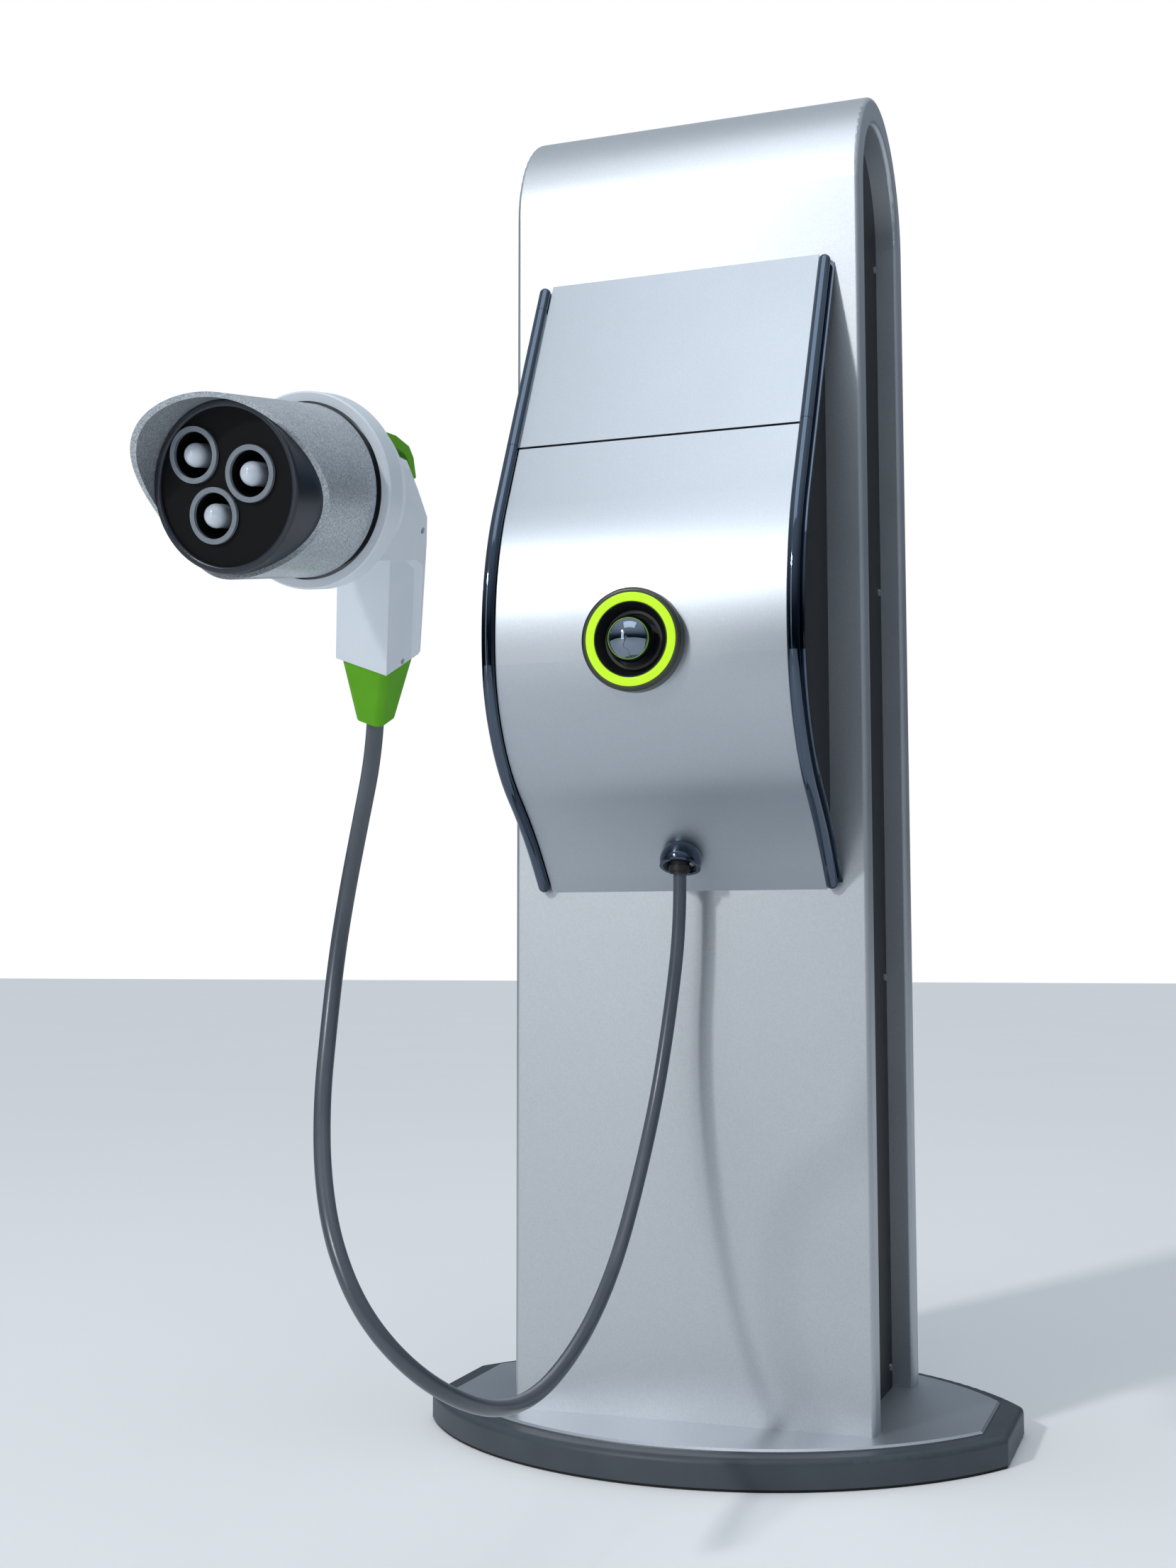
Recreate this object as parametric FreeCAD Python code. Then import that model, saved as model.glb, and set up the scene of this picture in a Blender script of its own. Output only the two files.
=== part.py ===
import FreeCAD, Part
import math
import os

os.makedirs("parts", exist_ok=True)
V = FreeCAD.Vector

# ---------------------------------------------------------------- sizes (mm)
# X is the post's width, -Y is the user's side, Z is up, the floor is z = 0.
POST_H = 1500.0
POST_W = 396.0
POST_D = 265.0
LEG_T = 30.0
SKIN_T = 4.0
EDGE_R = 5.0
CORE_W = 345.0
CORE_GAP = 0.5
COVER_T = 2.5

PLINTH_W = 646.0
PLINTH_D = 510.0
PLINTH_END = 140.0
GASKET_T = 3.0
PLINTH_TOP = 32.0
PLATE_INSET = 25.7
PLATE_T = 3.5
FOOT_T = 10.0
FOOT_W = 480.0
FOOT_D = POST_D + 25.0
ANCHOR_X = 420.0
ANCHOR_Y = 200.0
ANCHOR_R = 7.0
SUPPLY_R = 20.0
SPIGOT_H = 120.0

# console front profile, followed from its top edge down to its bottom edge
CONSOLE_TOP_Z = 1283.7
FLAP_TILT = 26.1
SLOPE_LEN = 321.0
BULGE_R = 312.7
BULGE_TURN = 32.2
BELLY_R = 194.0
BELLY_TURN = 46.3
SWEEP_R = 497.1
SWEEP_TURN = 11.4
TAIL_LEN = 34.2
PANEL_T = 3.0
PANEL_HALF = 153.8
WALL_IN = PANEL_HALF + 1.2
WALL_OUT = WALL_IN + 3.5
LEDGE_IN = WALL_IN - 10.0
BACK_T = 3.5
GAP_AT = 238.5
GAP_W = 3.0

# side rails
RAIL_R = 6.5
RAIL_X = WALL_IN + 6.0
RAIL_PROUD = 2.0
RAIL_TOP = 12.0
STUB_LEN = 28.0
TRIM_OUT = RAIL_X + 10.0
HINGE_PIN_R = 3.0

# fits
RUN_CLEAR = 0.05
SLIP = 0.3
JOINT_LINE = 0.5

# lit ring and push knob
RING_X = -2.5
RING_ARC = 29.0
RING_PROUD = 15.0
HOUSING_R = 52.5
TUBE_R = HOUSING_R - 6.0
LIGHT_OUT = HOUSING_R - 5.3
KNOB_R = 24.0
POCKET_R = KNOB_R + 3.0
CUP_LEDGE_R = POCKET_R + 3.0
CUP_R = CUP_LEDGE_R + 8.3
KNOB_OUT = 14.0
STEM_R = 13.0

# cord outlet
OUTLET_X = 5.0
OUTLET_Y = -POST_D / 2 - 42.5
OUTLET_Z = 612.0
CORD_R = 7.0
HOOD_R = 22.5
HOOD_T = 3.0
HOOD_LEAN = 21.5
HOOD_DEPTH = 7.5

# connector, drawn in its own frame and then placed
PLUG_AT = V(-52.3, -1029.7, 834.3)
PLUG_YAW = -6.19
PLUG_PITCH = 11.03
PLUG_ROLL = 20.78
FACE_R = 52.0
RIM_R = FACE_R + 5.0
SHROUD_R = RIM_R + 3.5
SLEEVE_LEN = 128.5
SHROUD_BACK = 92.0
COLLAR_R = SHROUD_R + 8.5
COLLAR_Y = SHROUD_BACK + 4.0
COLLAR_EDGE = 17.0
COLLAR_BACK = SLEEVE_LEN + 4.5
GRIP_HALF = 23.7
SPINE_HALF = 28.5
SPINE_BEVEL = 6.0
GRIP_D = 46.2
GRIP_LEAN = 19.9
VISOR_MID = 2.3
VISOR_SIDE = 21.3
VISOR_RISE = 13.0
VISOR_TWIST = 9.5
VISOR_SADDLE = 4.6
VISOR_NOSE = 6.4
VISOR_LIP = 2.5
PIN_SPOTS = ((-29.5, 14.0), (16.5, 13.5), (-4.5, -20.5))
PIN_RING_R = 18.8
CONTACT_R = 8.2
CONTACT_Y = 4.5

# hand-chosen cord route, from the outlet to the connector
CORD_POINTS = (
    (5.0, -175.0, 612.0),
    (5.0, -175.0, 556.0),
    (-4.0, -182.0, 468.0),
    (-12.0, -205.0, 380.0),
    (-19.0, -246.0, 300.0),
    (-22.0, -303.0, 232.0),
    (-22.0, -377.0, 186.0),
    (-20.0, -460.0, 160.0),
    (-16.0, -547.0, 150.0),
    (-14.0, -632.0, 157.0),
    (-22.0, -704.0, 180.0),
    (-44.0, -752.0, 214.0),
    (-74.0, -770.0, 256.0),
    (-103.0, -760.0, 304.0),
    (-127.0, -733.0, 354.0),
    (-145.0, -700.0, 410.0),
    (-152.0, -675.0, 468.0),
    (-153.0, -660.0, 526.0),
    (-145.0, -658.0, 580.0),
    (-127.0, -672.0, 634.0),
    (-93.1, -714.5, 694.4),
    (-81.4, -737.0, 727.9),
)

FRONT_Y = -POST_D / 2
INNER_Y = POST_D / 2 - LEG_T


# ---------------------------------------------------------------- helpers
def save(name, shape):
    shape = shape.removeSplitter() if shape.ShapeType != "Compound" else shape
    bad = [s for s in shape.Solids if not s.isValid()]
    box = shape.BoundBox
    text = "%-22s solids %2d bad %d vol %9.1f cc" % (name, len(shape.Solids), len(bad), shape.Volume / 1000)
    print(text, "z %.0f..%.0f" % (box.ZMin, box.ZMax))
    shape.exportStep("parts/" + name + ".step")
    return shape


def box(x0, x1, y0, y1, z0, z1):
    return Part.makeBox(x1 - x0, y1 - y0, z1 - z0, V(x0, y0, z0))


def rod(radius, start, end):
    axis = end - start
    return Part.makeCylinder(radius, axis.Length, start, axis)


def tube(outer, inner, start, end):
    return rod(outer, start, end).cut(rod(inner, start, end))


def prism_x(points, x0, x1):
    corners = [V(x0, y, z) for y, z in points]
    wire = Part.makePolygon(corners + [corners[0]])
    return Part.Face(wire).extrude(V(x1 - x0, 0, 0))


def fuse(shapes):
    result = shapes[0]
    for shape in shapes[1:]:
        result = result.fuse(shape)
    return result


def cut(shape, tools):
    for tool in tools:
        shape = shape.cut(tool)
    return shape


def rounded(shape, radius, chosen):
    edges = [edge for edge in shape.Edges if chosen(edge)]
    return shape.makeFillet(radius, edges)


def upright(edge):
    box_e = edge.BoundBox
    return box_e.XLength < 0.01 and box_e.YLength < 0.01


# ---------------------------------------------------------------- base
def lens_wire(half_width, half_depth, half_end, z):
    left_front = V(-half_width, -half_end, z)
    right_front = V(half_width, -half_end, z)
    right_back = V(half_width, half_end, z)
    left_back = V(-half_width, half_end, z)
    front = Part.Arc(left_front, V(0, -half_depth, z), right_front).toShape()
    right = Part.LineSegment(right_front, right_back).toShape()
    back = Part.Arc(right_back, V(0, half_depth, z), left_back).toShape()
    left = Part.LineSegment(left_back, left_front).toShape()
    return Part.Wire([front, right, back, left])


def lens(inset, z0, z1):
    wire = lens_wire(PLINTH_W / 2 - inset, PLINTH_D / 2 - inset, PLINTH_END / 2, z0)
    return Part.Face(wire).extrude(V(0, 0, z1 - z0))


def anchor_spots():
    return [(sx * ANCHOR_X / 2, sy * ANCHOR_Y / 2) for sx in (-1, 1) for sy in (-1, 1)]


def leg_slots(z0, z1, extra):
    mid = FRONT_Y + LEG_T / 2
    half_t = LEG_T / 2 - SKIN_T + extra
    half_w = POST_W / 2 - 2 * SKIN_T + extra
    front = box(-half_w, half_w, mid - half_t, mid + half_t, z0, z1)
    back = box(-half_w, half_w, -mid - half_t, -mid + half_t, z0, z1)
    return [front, back]


def base_gasket():
    pad = lens(2.0, 0, GASKET_T)
    holes = [rod(ANCHOR_R, V(x, y, -1), V(x, y, GASKET_T + 1)) for x, y in anchor_spots()]
    holes.append(rod(SUPPLY_R + 2, V(0, 0, -1), V(0, 0, GASKET_T + 1)))
    return cut(pad, holes)


def foot_plate():
    z0 = GASKET_T
    z1 = GASKET_T + FOOT_T
    plate = box(-FOOT_W / 2, FOOT_W / 2, -FOOT_D / 2, FOOT_D / 2, z0, z1)
    plate = rounded(plate, 12, upright)
    holes = [rod(ANCHOR_R, V(x, y, 0), V(x, y, z1 + 1)) for x, y in anchor_spots()]
    holes.append(rod(SUPPLY_R, V(0, 0, 0), V(0, 0, z1 + 1)))
    return cut(plate, holes)


def base_plinth():
    body = lens(0, GASKET_T, PLINTH_TOP)
    body = rounded(body, 9.0, upright)
    top = [e for e in body.Edges if e.BoundBox.ZMin > PLINTH_TOP - 0.01]
    body = body.makeFillet(7, top)
    pocket_z = GASKET_T + FOOT_T + SLIP
    pocket = box(-FOOT_W / 2 - 2, FOOT_W / 2 + 2, -FOOT_D / 2 - 2, FOOT_D / 2 + 2, 0, pocket_z)
    tools = [pocket, rod(SUPPLY_R + 12, V(0, 0, 0), V(0, 0, PLINTH_TOP + 1))]
    tools += [rod(20, V(x, y, 0), V(x, y, PLINTH_TOP - 3)) for x, y in anchor_spots()]
    tools += leg_slots(0, PLINTH_TOP + 1, 0.6)
    return cut(body, tools)


def base_top_plate():
    z1 = PLINTH_TOP + PLATE_T
    plate = lens(PLATE_INSET, PLINTH_TOP, z1)
    top = [e for e in plate.Edges if e.BoundBox.ZMin > z1 - 0.01]
    plate = plate.makeChamfer(2.2, top)
    tools = [rod(SUPPLY_R + 12, V(0, 0, 0), V(0, 0, z1 + 1))]
    return cut(plate, tools + leg_slots(0, z1 + 1, 0.4))


def leg_spigots():
    z0 = GASKET_T + FOOT_T
    blocks = leg_slots(z0, SPIGOT_H, -0.4)
    return [cut(b, screw_holes(2.9)) for b in blocks]


# ---------------------------------------------------------------- hairpin post
def hairpin_face(inset, x, z0):
    outer = POST_D / 2 - inset
    centre = POST_H - POST_D / 2
    left = V(x, -outer, z0)
    right = V(x, outer, z0)
    up = Part.LineSegment(left, V(x, -outer, centre)).toShape()
    arch = Part.Arc(V(x, -outer, centre), V(x, 0, centre + outer), V(x, outer, centre)).toShape()
    down = Part.LineSegment(V(x, outer, centre), right).toShape()
    close = Part.LineSegment(right, left).toShape()
    return Part.Face(Part.Wire([up, arch, down, close]))


def hairpin_block(inset, half_width, z0):
    return hairpin_face(inset, -half_width, z0).extrude(V(2 * half_width, 0, 0))


def conduit_hole(radius):
    return rod(radius, V(0, FRONT_Y - 27.5, CONDUIT_Z), V(0, FRONT_Y + LEG_T + 12.5, CONDUIT_Z))


def leg_screw_spots():
    return [(x, side, 85.0) for x in (-140, 0, 140) for side in (-1, 1)]


def screw_holes(radius):
    tools = []
    for x, side, z in leg_screw_spots():
        tools.append(rod(radius, V(x, side * INNER_Y, z), V(x, side * (INNER_Y + 16), z)))
    return tools


def screw_heads(radius, depth):
    tools = []
    for x, side, z in leg_screw_spots():
        tools.append(rod(radius, V(x, side * (INNER_Y - 0.1), z), V(x, side * (INNER_Y + depth), z)))
    return tools


def console_screw_spots():
    return [(x, z) for x in (-110, 110) for z in (660, 1180)]


def hairpin_shell():
    z0 = PLINTH_TOP + PLATE_T
    body = hairpin_block(0, POST_W / 2, z0).cut(hairpin_block(LEG_T, POST_W, z0 - 1))
    sides = []
    for edge in body.Edges:
        size = edge.BoundBox
        if size.XLength < 0.01 and abs(abs(size.XMin) - POST_W / 2) < 0.01 and size.ZMax > z0 + 1:
            sides.append(edge)
    body = body.makeFillet(EDGE_R, sides)
    hollow = hairpin_block(SKIN_T, POST_W / 2 - 2 * SKIN_T, z0 - 1)
    keep = hairpin_block(LEG_T - SKIN_T, POST_W, z0 - 2)
    body = body.cut(hollow.cut(keep))
    tools = [conduit_hole(16)] + screw_holes(3.3) + screw_heads(6.2, 3.0)
    for x, z in console_screw_spots():
        tools.append(rod(3.3, V(x, FRONT_Y - 1, z), V(x, FRONT_Y + SKIN_T + 0.5, z)))
    return cut(body, tools)


def leg_screws():
    parts = []
    for x, side, z in leg_screw_spots():
        head = rod(6.0, V(x, side * (INNER_Y + 0.2), z), V(x, side * (INNER_Y + 3.0), z))
        shank = rod(2.9, V(x, side * (INNER_Y + 3.0), z), V(x, side * (INNER_Y + 15.5), z))
        socket = rod(2.0, V(x, side * INNER_Y, z), V(x, side * (INNER_Y + 1.8), z))
        parts.append(head.fuse(shank).cut(socket))
    return Part.makeCompound(parts)


def core_liner():
    z0 = PLINTH_TOP + PLATE_T
    half = CORE_W / 2 - COVER_T
    inset = LEG_T + CORE_GAP
    body = hairpin_block(inset, half, z0).cut(hairpin_block(inset + 2.5, POST_W, z0 - 1))
    return body.cut(conduit_hole(16)).fuse(core_cleats().Solids)


def core_cover(side):
    z0 = PLINTH_TOP + PLATE_T
    inset = LEG_T + CORE_GAP
    x0 = side * (CORE_W / 2 - COVER_T)
    sheet = hairpin_face(inset, x0, z0).extrude(V(side * COVER_T, 0, 0))
    tools = [rod(2.2, V(x0 - 5, y, z), V(x0 + 5, y, z)) for y, z in cover_screw_spots()]
    return cut(sheet, tools)


def cover_screw_spots():
    return [(y, z) for y in (14.5 - INNER_Y, INNER_Y - 14.5) for z in (60, 500, 950, POST_H - 160)]


def core_cleats():
    parts = []
    x = CORE_W / 2 - COVER_T
    for side in (-1, 1):
        for y, z in cover_screw_spots():
            inner = math.copysign(INNER_Y - CORE_GAP - 2.5, y)
            low, high = sorted((inner, inner - math.copysign(24, y)))
            cleat = box(min(side * x, side * (x - 8)), max(side * x, side * (x - 8)), low, high, z - 10, z + 10)
            hole = rod(2.0, V(side * (x - 9), y, z), V(side * (x + 1), y, z))
            parts.append(cleat.cut(hole))
    return Part.makeCompound(parts)


def cover_screws():
    parts = []
    x = CORE_W / 2
    for side in (-1, 1):
        for y, z in cover_screw_spots():
            head = rod(4.0, V(side * x, y, z), V(side * (x + 2.0), y, z))
            shank = rod(1.95, V(side * (x - 9), y, z), V(side * x, y, z))
            slot = box(-9, 9, -0.6, 0.6, -5, 5)
            slot.translate(V(side * (x + 10), y, z))
            parts.append(head.fuse(shank).cut(slot))
    return Part.makeCompound(parts)


# ---------------------------------------------------------------- supply conduit
CONDUIT_Z = 700.0
CONDUIT_R = 12.0


def supply_conduit():
    bend = 60.0
    low = V(0, 0, 60)
    a = V(0, 0, CONDUIT_Z - bend)
    mid = V(0, -bend * (1 - math.sqrt(0.5)), CONDUIT_Z - bend * (1 - math.sqrt(0.5)))
    b = V(0, -bend, CONDUIT_Z)
    end = V(0, FRONT_Y - 19.5, CONDUIT_Z)
    path = Part.Wire([
        Part.LineSegment(low, a).toShape(),
        Part.Arc(a, mid, b).toShape(),
        Part.LineSegment(b, end).toShape(),
    ])
    outer = Part.Wire([Part.makeCircle(CONDUIT_R, low, V(0, 0, 1))])
    inner = Part.Wire([Part.makeCircle(CONDUIT_R - 2.5, low, V(0, 0, 1))])
    skin = path.makePipeShell([outer], True, True)
    bore = path.makePipeShell([inner], True, True)
    return skin.cut(bore)


def conduit_clips():
    parts = []
    for z in (160, 380, 600):
        foot = box(-20, 20, INNER_Y - 8.0, INNER_Y - CORE_GAP - 2.5, z - 8, z + 8)
        arm = box(-6, 6, CONDUIT_R + 0.5, INNER_Y - 8.0, z - 8, z + 8)
        ring = tube(CONDUIT_R + 4, CONDUIT_R + SLIP, V(0, 0, z - 8), V(0, 0, z + 8))
        arm = arm.cut(rod(CONDUIT_R + 2, V(0, 0, z - 9), V(0, 0, z + 9)))
        parts.append(fuse([foot, arm, ring]))
    return Part.makeCompound(parts)


def conduit_grommet():
    y0 = FRONT_Y - BACK_T
    sleeve = tube(16, CONDUIT_R + SLIP, V(0, y0 - 3, CONDUIT_Z), V(0, FRONT_Y + SKIN_T, CONDUIT_Z))
    flange = tube(21, CONDUIT_R + SLIP, V(0, y0 - 3, CONDUIT_Z), V(0, y0, CONDUIT_Z))
    return sleeve.fuse(flange)


# ---------------------------------------------------------------- console profile
def heading_in(angle):
    return V(0, math.cos(angle), -math.sin(angle))


def heading_along(angle):
    return V(0, -math.sin(angle), -math.cos(angle))


def console_edges(off, trim_top=-40.0, trim_bottom=-40.0):
    angle = math.radians(FLAP_TILT)
    point = V(0, FRONT_Y, CONSOLE_TOP_Z)
    first = point + heading_in(angle) * off + heading_along(angle) * trim_top
    point = point + heading_along(angle) * SLOPE_LEN
    last = point + heading_in(angle) * off
    edges = [Part.LineSegment(first, last).toShape()]
    turns = ((BULGE_R, BULGE_TURN, 1), (BELLY_R, BELLY_TURN, 1), (SWEEP_R, SWEEP_TURN, -1))
    for radius, turn, sign in turns:
        centre = point + heading_in(angle) * (sign * radius)
        reach = radius - sign * off
        after = angle - sign * math.radians(turn)
        middle = centre - heading_in((angle + after) / 2) * (sign * reach)
        end = centre - heading_in(after) * (sign * reach)
        edges.append(Part.Arc(last, middle, end).toShape())
        point = centre - heading_in(after) * (sign * radius)
        last = end
        angle = after
    tail = last + heading_along(angle) * (TAIL_LEN - trim_bottom)
    edges.append(Part.LineSegment(last, tail).toShape())
    return edges


def console_point(arc_deg, off):
    """Point and outward direction on the bulge, arc_deg after the slope ends."""
    angle = math.radians(FLAP_TILT)
    point = V(0, FRONT_Y, CONSOLE_TOP_Z) + heading_along(angle) * SLOPE_LEN
    centre = point + heading_in(angle) * BULGE_R
    after = angle - math.radians(arc_deg)
    return centre - heading_in(after) * (BULGE_R - off), heading_in(after) * -1


def region(off, x0, x1, y_back=FRONT_Y):
    edges = console_edges(off)
    start = edges[0].Vertexes[0].Point
    end = edges[-1].Vertexes[-1].Point
    behind = 60.0
    closing = [end, V(0, behind, end.z), V(0, behind, start.z), start]
    for a, b in zip(closing[:-1], closing[1:]):
        edges.append(Part.LineSegment(a, b).toShape())
    face = Part.Face(Part.Wire(edges))
    face.translate(V(x0, 0, 0))
    solid = face.extrude(V(x1 - x0, 0, 0))
    return solid.common(box(x0 - 1, x1 + 1, -600, y_back, 400, 1500))


def slope_box(x0, x1, n0, n1, s0, s1):
    """Box on the flat slope: n runs inwards from the outer face, s runs down from its top edge."""
    block = box(x0, x1, n0, n1, -s1, -s0)
    block.rotate(V(0, 0, 0), V(1, 0, 0), -FLAP_TILT)
    block.translate(V(0, FRONT_Y, CONSOLE_TOP_Z))
    return block


def slope_point(x, n, s):
    angle = math.radians(FLAP_TILT)
    return V(x, FRONT_Y, CONSOLE_TOP_Z) + heading_in(angle) * n + heading_along(angle) * s


def ring_frame():
    spot, out = console_point(RING_ARC, 0)
    spot.x = RING_X
    return spot, out


def ring_rod(radius, w0, w1):
    spot, out = ring_frame()
    return rod(radius, spot + out * w0, spot + out * w1)


def outlet_hole(radius):
    centre = V(OUTLET_X, OUTLET_Y, OUTLET_Z + 20)
    out = V(0, -0.743, -0.669)
    return rod(radius, centre - out * 60, centre + out * 6)


# ---------------------------------------------------------------- console sheets
def console_housing():
    back = FRONT_Y - BACK_T
    body = region(PANEL_T + SLIP, -PANEL_HALF - 0.4, PANEL_HALF + 0.4)
    body = body.fuse(region(PANEL_T + 1.8, -WALL_OUT, WALL_OUT))
    cavity = region(PANEL_T + SLIP + 3, -WALL_IN, WALL_IN, back)
    mouth = region(-8, -LEDGE_IN, LEDGE_IN, back).common(box(-200, 200, -600, 0, 616, 1258))
    body = cut(body, [cavity, mouth, conduit_hole(16)])
    tools = [rod(3.3, V(x, back - 1, z), V(x, FRONT_Y + 1, z)) for x, z in console_screw_spots()]
    return cut(body, tools)


def console_screws():
    parts = []
    back = FRONT_Y - BACK_T
    for x, z in console_screw_spots():
        head = rod(6.0, V(x, back - 4, z), V(x, back, z))
        shank = rod(3.0, V(x, back, z), V(x, FRONT_Y + SKIN_T + 12, z))
        socket = rod(2.2, V(x, back - 4.1, z), V(x, back - 1.5, z))
        parts.append(head.fuse(shank).cut(socket))
    return Part.makeCompound(parts)


def sheet(off0, off1, half):
    return region(off0, -half, half).cut(region(off1, -half - 1, half + 1))


def front_panel():
    body = sheet(0, PANEL_T, PANEL_HALF)
    above = slope_box(-200, 200, -60, 80, -80, GAP_AT + GAP_W / 2)
    body = body.cut(above)
    return cut(body, [ring_rod(TUBE_R + 0.5, -40, 40), outlet_hole(13)])


def flap_panel():
    body = sheet(0, PANEL_T, PANEL_HALF)
    below = slope_box(-200, 200, -60, 600, GAP_AT - GAP_W / 2, 1200)
    body = body.cut(below)
    tongue = slope_box(2 - RAIL_X, 3.8 - PANEL_HALF, 0, PANEL_T, STUB_LEN + 14, GAP_AT - GAP_W / 2)
    body = body.fuse(tongue)
    axis_top = slope_point(-RAIL_X, -RAIL_PROUD, 0)
    axis_low = slope_point(-RAIL_X, -RAIL_PROUD, 300)
    body = body.cut(rod(RAIL_R, axis_top, axis_low))
    lip = slope_box(10 - LEDGE_IN, LEDGE_IN - 3, PANEL_T, 14, GAP_AT - 4.5, GAP_AT - 2.5)
    side = slope_box(LEDGE_IN - 5, LEDGE_IN - 3, PANEL_T, 14, 40, GAP_AT - 2.5)
    near = slope_box(10 - LEDGE_IN, 12 - LEDGE_IN, PANEL_T, 14, 40, GAP_AT - 2.5)
    return fuse([body, lip, side, near])


def rail_shape(side, start, end):
    """Round rail along the profile between two distances down the slope or past it."""
    trim_top = start if start is not None else RAIL_TOP
    if end is None:
        edges = console_edges(-RAIL_PROUD, trim_top, RAIL_R)
        wire = Part.Wire(edges)
        top = edges[0].Vertexes[0].Point
        low = edges[-1].Vertexes[-1].Point
        profile = Part.Wire([Part.makeCircle(RAIL_R, top, heading_along(math.radians(FLAP_TILT)))])
        bar = wire.makePipeShell([profile], True, True)
        bar = bar.fuse(Part.makeSphere(RAIL_R, low))
    else:
        top = slope_point(0, -RAIL_PROUD, trim_top)
        low = slope_point(0, -RAIL_PROUD, end)
        bar = rod(RAIL_R, top, low)
        if start is None:
            bar = bar.fuse(Part.makeSphere(RAIL_R, top))
    bar.translate(V(side * RAIL_X, 0, 0))
    return bar


def pin_rod(radius, s0, s1):
    return rod(radius, slope_point(-RAIL_X, -RAIL_PROUD, s0), slope_point(-RAIL_X, -RAIL_PROUD, s1))


STUB_END = RAIL_TOP + STUB_LEN
SPLIT_TOP = GAP_AT - 0.3
SPLIT_LOW = GAP_AT + 0.3


def rail_left_lower():
    return rail_shape(-1, SPLIT_LOW, None).cut(pin_rod(HINGE_PIN_R, SPLIT_LOW - 1, SPLIT_LOW + 30))


def rail_left_upper():
    bar = rail_shape(-1, STUB_END + JOINT_LINE, SPLIT_TOP)
    low = pin_rod(HINGE_PIN_R + RUN_CLEAR, SPLIT_TOP - 30.5, SPLIT_TOP + 1)
    top = pin_rod(HINGE_PIN_R + RUN_CLEAR, STUB_END - 1, STUB_END + 30.5)
    return cut(bar, [low, top])


def rail_left_stub():
    return rail_shape(-1, None, STUB_END).cut(pin_rod(HINGE_PIN_R, STUB_END - 18, STUB_END + 1))


def hinge_pins():
    low = pin_rod(HINGE_PIN_R, SPLIT_TOP - 30, SPLIT_LOW + 30)
    top = pin_rod(HINGE_PIN_R, STUB_END - 18, STUB_END + 30)
    return Part.makeCompound([low, top])


def rail_right_lower():
    return rail_shape(1, SPLIT_LOW, None)


def rail_right_upper():
    return rail_shape(1, None, SPLIT_TOP)


def side_trim(side):
    off0 = RAIL_R - RAIL_PROUD + 0.2
    x0 = WALL_OUT if side > 0 else -TRIM_OUT
    x1 = TRIM_OUT if side > 0 else -WALL_OUT
    return region(off0, x0, x1).cut(region(off0 + 2.6, x0 - 1, x1 + 1))


def flap_catches():
    parts = []
    for s in (80, 200):
        block = slope_box(LEDGE_IN - 1.5, LEDGE_IN, 7, 22, s - 12, s + 12)
        arm = slope_box(LEDGE_IN, WALL_IN, PANEL_T + SLIP + 3, 22, s - 12, s + 12)
        parts.append(block.fuse(arm))
    return Part.makeCompound(parts)


# ---------------------------------------------------------------- lit ring and knob
def ring_housing():
    spot, out = ring_frame()
    collar = ring_rod(HOUSING_R, -12, RING_PROUD)
    front = [e for e in collar.Edges if e.Length > 5 * HOUSING_R and (e.CenterOfMass - spot).dot(out) > RING_PROUD - 1]
    collar = collar.makeFillet(3.5, front)
    collar = collar.cut(region(0, -100, 100))
    body = collar.fuse(ring_rod(TUBE_R, -32, RING_PROUD - 6))
    recess = ring_rod(LIGHT_OUT + 0.1, RING_PROUD - 5, RING_PROUD + 1)
    return cut(body, [ring_rod(CUP_R + 0.2, -40, 40), recess])


def ring_light():
    spot, out = ring_frame()
    body = ring_rod(LIGHT_OUT, RING_PROUD - 4.9, RING_PROUD + 0.6)
    body = body.cut(ring_rod(CUP_R + 0.2, -40, 40))
    front = [e for e in body.Edges if (e.CenterOfMass - spot).dot(out) > RING_PROUD + 0.5]
    return body.makeFillet(1.2, front)


def ring_cup():
    spot, out = ring_frame()
    outer = Part.makeCylinder(CUP_R, RING_PROUD + 14, spot + out * -14, out)
    bevel = Part.makeCone(CUP_LEDGE_R, CUP_R - 1.0, RING_PROUD - 3, spot + out * 3, out)
    return cut(outer, [bevel, ring_rod(POCKET_R, -10, 4), ring_rod(STEM_R + 0.4, -40, 40)])


def push_knob():
    spot, out = ring_frame()
    ball = Part.makeSphere(KNOB_R, spot + out * KNOB_OUT)
    stem = ring_rod(STEM_R, -22, 6)
    guide = ring_rod(STEM_R + 5, -22, -18.5)
    return fuse([ball, stem, guide])


def knob_spring():
    spot, out = ring_frame()
    coil = Part.makeHelix(2.6, 12, 9)
    wire = Part.Wire(coil.Edges)
    profile = Part.Wire([Part.makeCircle(0.7, V(9, 0, 0), V(0, 1, 0))])
    body = wire.makePipeShell([profile], True, True)
    turn = FreeCAD.Rotation(V(0, 0, 1), out * -1)
    body.Placement = FreeCAD.Placement(spot + out * -22.7, turn)
    return body


def switch_block():
    spot, out = ring_frame()
    block = ring_rod(26, -52, -36.5)
    pocket = ring_rod(11.5, -37.5, -36)
    pins = [box(-1, 1, -6, 6, -1, 1) for _ in range(2)]
    body = block.cut(pocket)
    for index, pin in enumerate(pins):
        pin.translate(spot + out * -56 + V(-8 + 16 * index, 0, 0))
        body = body.fuse(pin)
    return body


def switch_carrier():
    plate = ring_rod(TUBE_R + 7, -36.4, -32.1)
    return plate.cut(ring_rod(STEM_R + 6.5, -40, -30))


def ring_locknut():
    return ring_rod(TUBE_R + 6, -30, -22).cut(ring_rod(TUBE_R, -40, -10))


# ---------------------------------------------------------------- cord outlet
def hood_centre():
    return V(OUTLET_X, OUTLET_Y + 4, OUTLET_Z + 14)


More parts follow.
